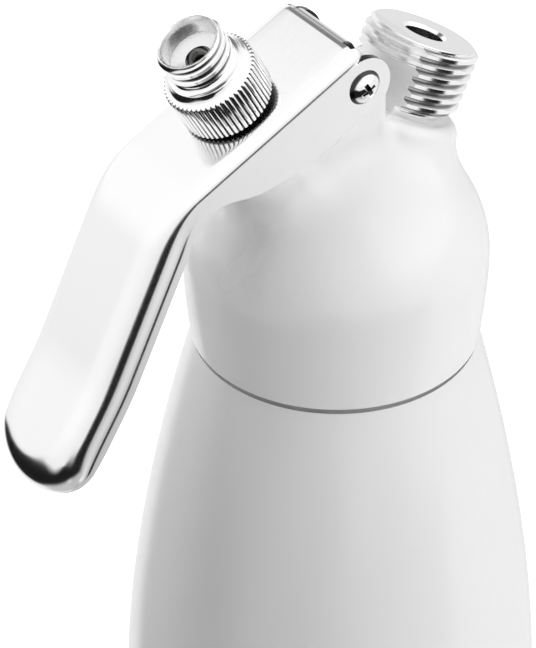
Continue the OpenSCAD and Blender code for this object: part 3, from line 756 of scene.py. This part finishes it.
RIBS = 56
RIB_PLACES = (-0.29, -0.05, 0.05, 0.29, 0.42, 0.58)
RIB_SHAPE = (0.26, 0, 0, 0.26, 1, 1)


def knurl(i, r, depth, z):
    """Point i round a ring whose ribs are depth high: where it lies in its rib sets how deep."""
    rib, k = divmod(i, len(RIB_SHAPE))
    a = 2 * math.pi / RIBS * (rib + RIB_PLACES[k])
    r_here = r - depth * RIB_SHAPE[k]
    return (r_here * math.cos(a), r_here * math.sin(a), z)


def make_adapter():
    bpy.ops.mesh.primitive_circle_add(
        vertices=RIBS * len(RIB_SHAPE), radius=1, fill_type="NOTHING"
    )
    ring = fresh("nozzle_body")
    for i, v in enumerate(ring.data.vertices):
        v.co = knurl(i, 7.6, 0, 50.8)
    open_up(ring, "EDGE", everything=True)
    ribbed = [
        (8.2, 0, 50.8), (8.6, 0.28, 50.92), (8.82, 0.5, 51.25), (8.82, 0.5, 58.95),
        (8.62, 0.3, 59.28), (8.27, 0, 59.4),
    ]
    flare = [
        (8.1, 59.46), (7.85, 59.56), (7.62, 59.72), (7.42, 59.94), (7.26, 60.22), (7.13, 60.52),
        (7.03, 60.82), (6.98, 61.05), (6.92, 61.13), (6.8, 61.15), (6.4, 61.2), (6.05, 61.4),
        (5.82, 61.7), (5.75, 62.0), (5.75, 62.4),
    ]
    rings_up(ring, [(lambda i, r=r, d=d, z=z: knurl(i, r, d, z)) for r, d, z in ribbed])
    rings_up(ring, [(lambda i, r=r, z=z: knurl(i, r, 0, z)) for r, z in flare])
    bpy.ops.mesh.edge_face_add()
    close_up()
    choose(ring, "EDGE", lambda e: e.is_boundary)
    bpy.ops.mesh.edge_face_add()
    close_up()
    face_out(ring)
    coil = threaded("nozzle_thread", 6.35, 5.5, 1.9, 62.2, 68.0, 66.5, foot=0.2)
    cut(coil, turned("nozzle_envelope", [
        (5.6, 62.1), (5.6, 62.2), (6.5, 62.95), (6.5, 66.9), (5.95, 67.55), (5.86, 67.75),
        (5.8, 68.0), (5.8, 68.1)
    ]), "INTERSECT")
    cut(coil, turned("nozzle_lip", [
        (5.3, 66.6), (5.6, 67.0), (5.84, 67.4), (5.84, 67.85), (5.72, 68.0)
    ]), "UNION")
    cut(ring, coil, "UNION")
    cut(ring, turned("nozzle_cutter", [
        (3.5, 50.0), (3.5, 58.1), (2.5, 58.1), (2.5, 63.4), (2.7, 63.46), (4.6, 64.0),
        (4.95, 64.1), (5.05, 64.35), (5.05, 66.6), (5.34, 67.9), (5.42, 68.0), (5.6, 68.2)
    ], 96))
    return ring


adapter = make_adapter()
settle(true_flats(adapter), stem_place)

# ------------------ pivot screw


def make_screw():
    head_r, head_h, low = 3.4, 1.7, LEVER_W / 2
    ball = (head_r**2 + head_h**2) / (2 * head_h)
    top = math.degrees(math.asin(head_r / ball))
    profile = [(1.2, low - 12), (1.5, low - 11.7), (1.5, low), (3.15, low), (3.34, low + 0.06)]
    for i in range(14):
        a = math.radians(top * (1 - i / 14))
        profile.append((ball * math.sin(a), low + head_h - ball + ball * math.cos(a)))
    screw = turned("screw_body", profile, 72)
    for turn_by in (0, math.pi / 2):
        arm = block("recess_arm", (-0.95, -0.3, low + 0.35), (0.95, 0.3, low + 0.5))
        choose(arm, "FACE", lambda f: f.normal.z > 0.9)
        extrude((0, 0, 1.6))
        bpy.ops.transform.resize(value=(2.3, 1.75, 1), center_override=(0, 0, low + 2))
        close_up()
        cut(screw, put(arm, Matrix.Rotation(turn_by + 0.5, 4, "Z")))
    return soften(screw, 0.06)


screw = make_screw()
settle(true_flats(screw), across_place)

# ------------------ return spring


def make_spring():
    wire, mean, low, climb, curls = 0.55, 5.9, 37.65, 6.93, 4
    bpy.ops.mesh.primitive_circle_add(
        vertices=14, radius=wire, location=(mean, 0, low), rotation=(math.pi / 2, 0, 0)
    )
    spring = fresh("spring_wire")
    freeze()
    apply_modifier(
        spring, "SCREW", angle=2 * math.pi, screw_offset=climb / curls, iterations=curls,
        steps=56, render_steps=56, axis="Z",
    )
    middle = low + climb / 2
    for upper in (False, True):
        choose(spring, "EDGE", lambda e: e.is_boundary and (e.verts[0].co.z > middle) == upper)
        bpy.ops.mesh.edge_face_add()
        close_up()
    return face_out(spring)


spring = make_spring()
settle(shade(spring, 40), stem_place)

# ------------------ what moves with what

for piece, body, slot, node in (
    (bottle, "bottle", "bottle_lacquer", "bottle"),
    (head, "head", "head_lacquer", "head_shell"),
    (lever, "lever", "lever_steel", "lever"),
    (inlet, "head", "chrome", "charger_inlet"),
    (adapter, "stem", "chrome", "nozzle_adapter"),
    (screw, "lever", "chrome", "pivot_screw"),
    (spring, "head", "spring_steel", "return_spring"),
):
    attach(piece, body)
    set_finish(piece, slot)
    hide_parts(node)
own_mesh(spring)

# ------------------ finishes


def feed(tree, value, socket):
    """Links the value where it is a socket, and sets it where it is plain."""
    if isinstance(value, bpy.types.NodeSocket):
        tree.links.new(value, socket)
    else:
        socket.default_value = value


def add(tree, kind, **settings):
    """A node with its settings and inputs, where _ stands for a space in an input's name."""
    node = tree.nodes.new(kind)
    for key, value in settings.items():
        name = key.replace("_", " ")
        if name in node.inputs:
            feed(tree, value, node.inputs[name])
        else:
            setattr(node, key, value)
    return node


def math_node(tree, operation, a, b=None):
    node = add(tree, "ShaderNodeMath", operation=operation)
    feed(tree, a, node.inputs[0])
    if b is not None:
        feed(tree, b, node.inputs[1])
    return node.outputs[0]


def spread(tree, value, low, high, low_in=0.3, high_in=0.7, kind="LINEAR"):
    """A value that runs from low_in to high_in, laid out from low to high."""
    node = add(
        tree, "ShaderNodeMapRange", interpolation_type=kind, Value=value, From_Min=low_in,
        From_Max=high_in, To_Min=low, To_Max=high,
    )
    return node.outputs["Result"]


def window(tree, value, low, low_full, high_full, high):
    """1 between low_full and high_full, falling softly to 0 at low and high."""
    rise = spread(tree, value, 0, 1, low, low_full, "SMOOTHSTEP")
    fall = spread(tree, value, 1, 0, high_full, high, "SMOOTHSTEP")
    return math_node(tree, "MULTIPLY", rise, fall)


def blend(tree, share, low, high):
    """A value that goes from low to high as the share goes from 0 to 1."""
    node = add(tree, "ShaderNodeMix", data_type="FLOAT")
    for socket, value in ((0, share), (2, low), (3, high)):
        feed(tree, value, node.inputs[socket])
    return node.outputs[0]


def two_tones(tree, share, low, high):
    """A colour that runs to high from low, which is a colour or the socket of one."""
    node = add(tree, "ShaderNodeMix", data_type="RGBA")
    feed(tree, share, node.inputs[0])
    feed(tree, low if isinstance(low, bpy.types.NodeSocket) else (*low, 1), node.inputs[6])
    node.inputs[7].default_value = (*high, 1)
    return node.outputs[2]


def object_place(tree, place=Matrix.Identity(4), stretch=(1, 1, 1)):
    """Object coordinates turned into a piece's own axis, and stretched along it."""
    where = tree.nodes.new("ShaderNodeTexCoord")
    mapping = add(
        tree, "ShaderNodeMapping", vector_type="TEXTURE", Vector=where.outputs["Object"],
        Location=tuple(MM * c for c in place.to_translation()),
        Rotation=tuple(place.to_euler()), Scale=stretch,
    )
    return mapping.outputs["Vector"]


def group(name, scales, values):
    """A shader group that is given a place and some scales, and puts out values."""
    tree = bpy.data.node_groups.new(name, "ShaderNodeTree")
    face = tree.interface
    face.new_socket("Place", in_out="INPUT", socket_type="NodeSocketVector")
    for socket, scale in scales.items():
        made = face.new_socket(socket, in_out="INPUT", socket_type="NodeSocketFloat")
        made.default_value = scale
    for socket in values:
        face.new_socket(socket, in_out="OUTPUT", socket_type="NodeSocketFloat")
    given, result = tree.nodes.new("NodeGroupInput"), tree.nodes.new("NodeGroupOutput")
    return tree, given.outputs, result.inputs


def noise(tree, given, scale, detail, roughness, result):
    """Noise over the group's place, put out as one of its values."""
    node = add(
        tree, "ShaderNodeTexNoise", Vector=given["Place"], Scale=scale, Detail=detail,
        Roughness=roughness,
    )
    tree.links.new(node.outputs["Fac"], result)


def lacquer_film():
    """The soft waves, faint mottle and dust specks of a sprayed lacquer."""
    tree, given, result = group(
        "lacquer film", {"Wave scale": 420.0, "Speck scale": 900.0}, ("Height", "Mottle", "Specks")
    )
    noise(tree, given, given["Wave scale"], 1.0, 0.4, result["Height"])
    noise(tree, given, 38.0, 3.0, 0.55, result["Mottle"])
    speck = add(
        tree, "ShaderNodeTexVoronoi", Vector=given["Place"], Scale=given["Speck scale"],
        Randomness=1.0,
    )
    tree.links.new(spread(tree, speck.outputs["Distance"], 1, 0, 0.03, 0.09), result["Specks"])
    return tree


def polish_marks():
    """Fine scratches and a cloudy haze, as polishing and wiping leave them on metal."""
    tree, given, result = group(
        "polish marks", {"Scratch scale": 900.0, "Haze scale": 90.0}, ("Scratches", "Haze")
    )
    noise(tree, given, given["Scratch scale"], 4.0, 0.7, result["Scratches"])
    noise(tree, given, given["Haze scale"], 2.5, 0.5, result["Haze"])
    return tree


def moulded_grain():
    """The fine matt grain and slight bloom of moulded rubber and plastic."""
    tree, given, result = group("moulded grain", {"Grain scale": 2600.0}, ("Height", "Bloom"))
    noise(tree, given, given["Grain scale"], 2.0, 0.6, result["Height"])
    noise(tree, given, 160.0, 3.0, 0.6, result["Bloom"])
    return tree


FILM, MARKS, GRAIN = lacquer_film(), polish_marks(), moulded_grain()


def blank(name):
    """A material with nothing but its shader."""
    material = bpy.data.materials.new(name)
    material.use_nodes = True
    tree = material.node_tree
    tree.nodes.clear()
    shader = tree.nodes.new("ShaderNodeBsdfPrincipled")
    surface = tree.nodes.new("ShaderNodeOutputMaterial")
    tree.links.new(shader.outputs["BSDF"], surface.inputs["Surface"])
    return material, tree, shader


def raise_up(tree, shader, height, distance):
    bump = add(tree, "ShaderNodeBump", Strength=1.0, Distance=distance, Height=height)
    tree.links.new(bump.outputs["Normal"], shader.inputs["Normal"])


def own_millimetres(tree, place):
    """A piece's own X, its height along its axis and its distance off the axis."""
    apart = tree.nodes.new("ShaderNodeSeparateXYZ")
    tree.links.new(object_place(tree, place, (MM, MM, MM)), apart.inputs[0])
    x, y = apart.outputs["X"], apart.outputs["Y"]
    squares = [math_node(tree, "MULTIPLY", c, c) for c in (x, y)]
    return x, apart.outputs["Z"], math_node(tree, "SQRT", math_node(tree, "ADD", *squares))


def ring_mask(tree, place, bands):
    """Where a turned piece lies within rings, each given by its radii and by its heights."""
    _, up, off = own_millimetres(tree, place)
    parts = [
        math_node(tree, "MULTIPLY", window(tree, off, *radii), window(tree, up, *heights))
        for radii, heights in bands
    ]
    mask = parts[0]
    for part in parts[1:]:
        mask = math_node(tree, "MAXIMUM", mask, part)
    return mask


def lacquer(name, low, high, wave, roughness, coat_roughness):
    material, tree, shader = blank(name)
    film = add(
        tree, "ShaderNodeGroup", node_tree=FILM, Place=object_place(tree), Wave_scale=wave
    )
    mottle = film.outputs["Mottle"]
    tree.links.new(two_tones(tree, mottle, low, high), shader.inputs["Base Color"])
    rough = spread(tree, mottle, roughness - 0.02, roughness + 0.03, 0, 1)
    tree.links.new(rough, shader.inputs["Roughness"])
    specks = math_node(tree, "MULTIPLY", film.outputs["Specks"], 0.25)
    raise_up(tree, shader, math_node(tree, "ADD", film.outputs["Height"], specks), 0.000008)
    shader.inputs["Coat Weight"].default_value = 0.6
    shader.inputs["Coat Roughness"].default_value = coat_roughness
    shader.inputs["Specular IOR Level"].default_value = 0.4
    return material


# how much the haze roughens the shine, and a distance beyond everything
HAZE = 0.05
FAR = 90


def grey(tone):
    return (tone, tone, tone)


def metal(name, low, high, roughness, place=Matrix.Identity(4), stretch=(1, 1, 1), scratch=1500.0,
          depth=0.000002, painted_shade_rings=(), painted_shade_tone=0.16, painted_shade_place=None, dull=(), milled=()):
    """Polished metal. Painted shade darkens it in its hollows, some rings are left dull from the
    lathe, and a milled flat, given by its place and the step of the cutter's lines, keeps them."""
    material, tree, shader = blank(name)
    marks = add(
        tree, "ShaderNodeGroup", node_tree=MARKS, Place=object_place(tree, place, stretch),
        Scratch_scale=scratch,
    )
    colour = two_tones(tree, marks.outputs["Haze"], low, high)
    relief = marks.outputs["Scratches"]
    rough = math_node(
        tree, "ADD", spread(tree, marks.outputs["Haze"], roughness, roughness + HAZE, 0, 1),
        spread(tree, relief, 0, HAZE * 0.6, 0.45, 0.75),
    )
    if milled:
        flat_x, step = milled
        x, up, _ = own_millimetres(tree, place)
    # painted shade: within the given rings the colour darkens to a grey tone and roughens, except on
    # the milled flat
    if painted_shade_rings:
        painted_shade = ring_mask(tree, painted_shade_place or place, painted_shade_rings)
        if milled:
            off_flat = window(tree, x, flat_x, flat_x + 0.1, FAR - 10, FAR)
            painted_shade = math_node(tree, "MULTIPLY", painted_shade, off_flat)
        colour = two_tones(tree, painted_shade, colour, grey(painted_shade_tone))
        rough = math_node(tree, "ADD", rough, math_node(tree, "MULTIPLY", painted_shade, 0.12))
    if dull:
        worn = ring_mask(tree, place, dull)
        colour = two_tones(tree, worn, colour, grey(0.86))
        rough = math_node(tree, "ADD", rough, math_node(tree, "MULTIPLY", worn, 0.15))
    if milled:
        on_flat = window(tree, x, -FAR, 10 - FAR, flat_x, flat_x + 0.1)
        lines = math_node(tree, "SINE", math_node(tree, "MULTIPLY", up, 2 * math.pi / step))
        lines = math_node(tree, "MULTIPLY", lines, on_flat)
        relief = math_node(tree, "ADD", relief, math_node(tree, "MULTIPLY", lines, 1.2))
        rough = math_node(tree, "ADD", rough, math_node(tree, "MULTIPLY", on_flat, 0.2))
    tree.links.new(colour, shader.inputs["Base Color"])
    tree.links.new(rough, shader.inputs["Roughness"])
    raise_up(tree, shader, relief, depth)
    shader.inputs["Metallic"].default_value = 1.0
    return material


def moulded(name, low, high, roughness):
    material, tree, shader = blank(name)
    grain = add(tree, "ShaderNodeGroup", node_tree=GRAIN, Place=object_place(tree))
    bloom = grain.outputs["Bloom"]
    colour = two_tones(tree, spread(tree, bloom, 0, 1), low, high)
    tree.links.new(colour, shader.inputs["Base Color"])
    rough = spread(tree, bloom, roughness, roughness + 0.12)
    tree.links.new(rough, shader.inputs["Roughness"])
    raise_up(tree, shader, grain.outputs["Height"], 0.00001)
    shader.inputs["Specular IOR Level"].default_value = 0.4
    return material


SHINE = ((0.93, 0.93, 0.935), grey(0.97))
ALONG_LEVER = (5, 1, 1)

finishes = {
    "bottle_lacquer": lacquer("bottle_lacquer", grey(0.80), grey(0.83), 300.0, 0.3, 0.09),
    "head_lacquer": lacquer("head_lacquer", grey(0.82), grey(0.85), 420.0, 0.26, 0.05),
    "chrome": metal("chrome", *SHINE, 0.06),
    "lever_steel": metal("lever_steel", *SHINE, 0.13, plate_place, ALONG_LEVER, 1200.0),
    "stem_steel": metal("stem_steel", (0.72, 0.72, 0.73), grey(0.8), 0.16, stem_place),
    "spring_steel": metal(
        "spring_steel", (0.66, 0.66, 0.67), grey(0.76), 0.2, stem_place, scratch=1800.0
    ),
    "brass": metal("brass", (0.72, 0.53, 0.26), (0.82, 0.63, 0.34), 0.2, stem_place),
    "black_rubber": moulded("black_rubber", (0.018, 0.018, 0.019), (0.035, 0.035, 0.036), 0.55),
    "silicone": moulded("silicone", (0.62, 0.62, 0.6), (0.7, 0.7, 0.68), 0.42),
    "washer_plastic": moulded("washer_plastic", (0.74, 0.74, 0.72), (0.8, 0.8, 0.78), 0.38),
}
SCREW_TOP = LEVER_W / 2 + 1.05
own_finishes = {
    lever: metal(
        "lever_polish", *SHINE, 0.13, plate_place, ALONG_LEVER, 1200.0,
        # painted shade inside the pivot's end, and along the ears' upper edge
        painted_shade_rings=[((0.0, 0.1, 6.2, 7.0), (-9.7, -9.6, 9.6, 9.7)),
                 ((5.6, 5.7, 5.85, 5.95), (-11.05, -10.95, 10.95, 11.05))],
        painted_shade_tone=0.05, painted_shade_place=across_place,
    ),
    adapter: metal(
        "nozzle_chrome", *SHINE, 0.09, stem_place,
        # painted shade between the ribs, between the threads and under the ring
        painted_shade_rings=[((8.0, 8.1, 8.4, 8.75), (50.9, 51.2, 59.1, 59.3)),
                 ((5.3, 5.35, 5.75, 6.15), (62.2, 62.6, 66.6, 67.2)),
                 ((0.0, 0.1, 8.9, 9.0), (50.0, 50.1, 51.0, 51.3))],
        dull=[((0.0, 0.1, 5.35, 5.45), (63.2, 63.4, 67.9, 68.0))],
    ),
    inlet: metal(
        "inlet_chrome", *SHINE, 0.09, inlet_place, depth=0.000003,
        # painted shade between the threads and in the socket
        painted_shade_rings=[((8.2, 8.4, 10.1, 10.7), (33.3, 33.6, 45.3, 45.6)),
                 ((0.0, 0.1, 3.9, 4.0), (30.0, 30.1, 44.9, 45.6))],
        painted_shade_tone=0.45, milled=(-6.58, 0.4),
    ),
    screw: metal(
        "screw_chrome", *SHINE, 0.07, across_place,
        # painted shade in the recess and round the edge of the head
        painted_shade_rings=[((0.0, 0.01, 1.9, 2.1), (2.0, 2.5, SCREW_TOP, SCREW_TOP + 0.2)),
                 ((2.6, 2.95, 3.5, 3.6), (2.0, 2.5, LEVER_W / 2 + 3, LEVER_W / 2 + 4))],
        painted_shade_tone=0.05,
    ),
}

for subpart in frame["record"]["subparts"]:
    node = nodes[subpart["node"]]
    node.data.materials.clear()
    node.data.materials.append(finishes[subpart["material_slot"]])
for piece in (bottle, head, lever, inlet, adapter, screw, spring):
    piece.data.materials.clear()
    piece.data.materials.append(own_finishes.get(piece, finishes[piece["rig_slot"]]))

# ------------------ studio


# how white the floor shows near the bottle and far off, and from where to where it changes
FLOOR_LIFT = (0.6, 1.0)
FLOOR_RING = (0.22, 0.6)
FLOOR_R = 3.0


def floor_finish():
    """Pale cloth, lifted to the white of the tent away from the bottle and its shadow."""
    material = bpy.data.materials.new("studio_floor")
    material.use_nodes = True
    tree = material.node_tree
    tree.nodes.clear()
    cloth = add(tree, "ShaderNodeBsdfDiffuse", Color=(*grey(0.82), 1))
    path = tree.nodes.new("ShaderNodeLightPath")
    seen = math_node(tree, "MAXIMUM", path.outputs["Is Camera Ray"], path.outputs["Is Glossy Ray"])
    where = tree.nodes.new("ShaderNodeTexCoord")
    off = add(tree, "ShaderNodeVectorMath", operation="LENGTH", Vector=where.outputs["Object"])
    far = window(tree, off.outputs["Value"], *FLOOR_RING, FAR, FAR + 9)
    lift = add(
        tree, "ShaderNodeEmission",
        Strength=math_node(tree, "MULTIPLY", seen, blend(tree, far, *FLOOR_LIFT)),
    )
    both = tree.nodes.new("ShaderNodeAddShader")
    tree.links.new(cloth.outputs[0], both.inputs[0])
    tree.links.new(lift.outputs[0], both.inputs[1])
    surface = tree.nodes.new("ShaderNodeOutputMaterial")
    tree.links.new(both.outputs[0], surface.inputs["Surface"])
    return material


bpy.ops.mesh.primitive_circle_add(
    vertices=96, radius=FLOOR_R, location=(0, 0, -0.0002), fill_type="NGON"
)
floor = fresh("studio_floor")
freeze()
floor.data.materials.append(floor_finish())
floor.visible_glossy = False


SOFTBOX_GLARE = 1.8
TENT_LEVEL = 0.18
FLAG_LEVEL = 0.012
ALL_ROUND, ALL_DOWN = (-2, -1, 361, 362), (-101, -100)

# patches of the tent, each laid over the ones before it: four angles round the tent, four
# angles up, and how bright
TENT_PATCHES = (
    # the softbox
    ((262, 276, 344, 358), (4, 14, 62, 74), SOFTBOX_GLARE),
    # grey at the foot, and higher up in front
    (ALL_ROUND, (*ALL_DOWN, -72, -62), 0.56),
    ((244, 262, 303, 312), (*ALL_DOWN, -38, -32), 0.52),
    # the gap behind, darker as it goes up
    ((24, 30, 44, 48), (-44, -34, 12, 18), 0.8),
    ((24, 32, 50, 58), (8, 17, 36, 46), 0.36),
    ((46, 58, 88, 96), (28, 42, 54, 62), 0.2),
    # a dark corner beside the flag
    ((284, 289, 303, 305), (-31, -29, -20, -15), 0.06),
)


def patch(tree, around, height, across, up):
    """A soft-edged patch of the tent, by its four angles each way."""
    return math_node(tree, "MULTIPLY", window(tree, around, *across), window(tree, height, *up))


# the hems of the dark flag: angle round the tent and angle up
FLAG_TOP = (
    (86, -24), (104, -21.5), (112, -20), (120, -15.5), (128, -11), (136, -7), (143, -6),
    (150, -9.5), (160, -15.5), (170, -21), (180, -27), (190, -30), (200, -27), (210, -21),
    (220, -15), (230, -11.5), (240, -14), (250, -17), (258, -15), (266, -12.5), (276, -13),
    (283, -15.5), (290, -20), (297, -24),
)
FLAG_FOOT = (
    (86, -40), (96, -42), (104, -48), (112, -56), (120, -62), (130, -65), (150, -67.5),
    (175, -70), (205, -69), (220, -67.5), (230, -65), (240, -61), (250, -57), (260, -53.5),
    (270, -50), (280, -45), (290, -40), (297, -37),
)


def hem(tree, around, points):
    """The height of a cloth's edge, drawn through its points round the tent. The curve holds it
    as a share of the way from low up to the horizon."""
    first, last, low = points[0][0], points[-1][0], -80
    curve = tree.nodes.new("ShaderNodeFloatCurve")
    spots = [((a - first) / (last - first), 1 - h / low) for a, h in points]
    drawn = curve.mapping.curves[0].points
    drawn[0].location = spots[0]
    drawn[1].location = spots[-1]
    for spot in spots[1:-1]:
        drawn.new(*spot)
    curve.mapping.update()
    tree.links.new(spread(tree, around, 0, 1, first, last), curve.inputs["Value"])
    share = curve.outputs["Value"]
    return math_node(tree, "SUBTRACT", math_node(tree, "MULTIPLY", share, -low), -low)


def in_degrees(tree, turned_by, *way):
    return math_node(tree, "MULTIPLY", math_node(tree, turned_by, *way), 180 / math.pi)


def tent_seen_in_gloss(tree):
    """What polished metal and lacquer mirror: a white tent with grey at its foot, a dark flag
    that hangs low in front and on the left, a grey gap behind, and a bright softbox."""
    way = tree.nodes.new("ShaderNodeSeparateXYZ")
    tree.links.new(tree.nodes.new("ShaderNodeTexCoord").outputs["Generated"], way.inputs[0])
    around = in_degrees(tree, "ARCTAN2", way.outputs["Y"], way.outputs["X"])
    around = math_node(tree, "FLOORED_MODULO", around, 360)
    height = in_degrees(tree, "ARCSINE", way.outputs["Z"])

    # the flag's upper hem is sharp, but soft from 158 to 218 degrees round
    over_top = math_node(tree, "SUBTRACT", height, hem(tree, around, FLAG_TOP))
    hem_soft = blend(tree, window(tree, around, 158, 176, 204, 218), 2.6, 11.0)
    over_top = math_node(tree, "DIVIDE", over_top, hem_soft)
    over_foot = math_node(tree, "SUBTRACT", height, hem(tree, around, FLAG_FOOT))
    under_top = window(tree, over_top, -99, -98, -1, 1)
    flag = math_node(tree, "MULTIPLY", under_top, window(tree, over_foot, -8, 7, 98, 99))
    flag = math_node(tree, "MULTIPLY", flag, window(tree, around, 88, 106, 294, 299))

    level = blend(tree, window(tree, height, -6, 20, 100, 101), 0.93, 1.05)
    for across, up, tone in TENT_PATCHES:
        level = blend(tree, patch(tree, around, height, across, up), level, tone)
    return blend(tree, flag, level, FLAG_LEVEL)


world = bpy.data.worlds.new("studio")
bpy.context.scene.world = world
world.use_nodes = True
sky = world.node_tree
sky.nodes.clear()
path = sky.nodes.new("ShaderNodeLightPath")
tent_level = blend(sky, path.outputs["Is Glossy Ray"], TENT_LEVEL, tent_seen_in_gloss(sky))
shown = math_node(sky, "MAXIMUM", path.outputs["Is Camera Ray"], path.outputs["Is Transmission Ray"])
tent = add(sky, "ShaderNodeBackground", Color=(1, 1, 1, 1))
sky.links.new(blend(sky, shown, tent_level, 1.0), tent.inputs["Strength"])
tent_out = sky.nodes.new("ShaderNodeOutputWorld")
sky.links.new(tent.outputs[0], tent_out.inputs["Surface"])


def lamp(name, place, target, width, height, power):
    """A soft panel of light that shows in no reflection: the tent above shows what gloss sees."""
    data = bpy.data.lights.new(name, "AREA")
    data.shape = "RECTANGLE"
    data.size, data.size_y = width, height
    data.energy = power
    obj = bpy.data.objects.new(name, data)
    bpy.context.scene.collection.objects.link(obj)
    aim = Vector(target) - Vector(place)
    obj.matrix_world = Matrix.Translation(place) @ aim.to_track_quat("-Z", "Y").to_matrix().to_4x4()
    obj.visible_camera = obj.visible_glossy = False
    return obj


BOTTLE_MIDDLE = (0, 0, 0.16)
lamp("softbox", (0.46, -0.80, 0.46), (0, 0, 0.18), 0.8, 0.85, 5.7)
lamp("rim_panel", (-0.25, 0.88, 0.30), BOTTLE_MIDDLE, 0.35, 0.8, 7.5)
lamp("front_panel", (-0.45, -0.85, 0.35), BOTTLE_MIDDLE, 0.5, 0.8, 1.6)
lamp("overhead", (0.1, 0.0, 1.2), (0, 0, 0.2), 0.7, 0.7, 4.0)

# ------------------ camera

camera_data = bpy.data.cameras.new("camera")
camera_data.lens = 174.99
camera_data.sensor_width = 36
camera_data.shift_x = -0.00535
camera_data.shift_y = 0.0331
camera_data.clip_end = 20
camera = bpy.data.objects.new("camera", camera_data)
bpy.context.scene.collection.objects.link(camera)
turn = Matrix((
    (0.808, -0.589, 0),  # right
    (0.3554, 0.4881, 0.7971),  # up
    (-0.4693, -0.6446, 0.6038),  # back
)).transposed().to_4x4()
camera.matrix_world = Matrix.Translation((-0.29623, -0.38595, 0.53010)) @ turn
bpy.context.scene.camera = camera

bpy.context.scene.view_settings.view_transform = "Standard"
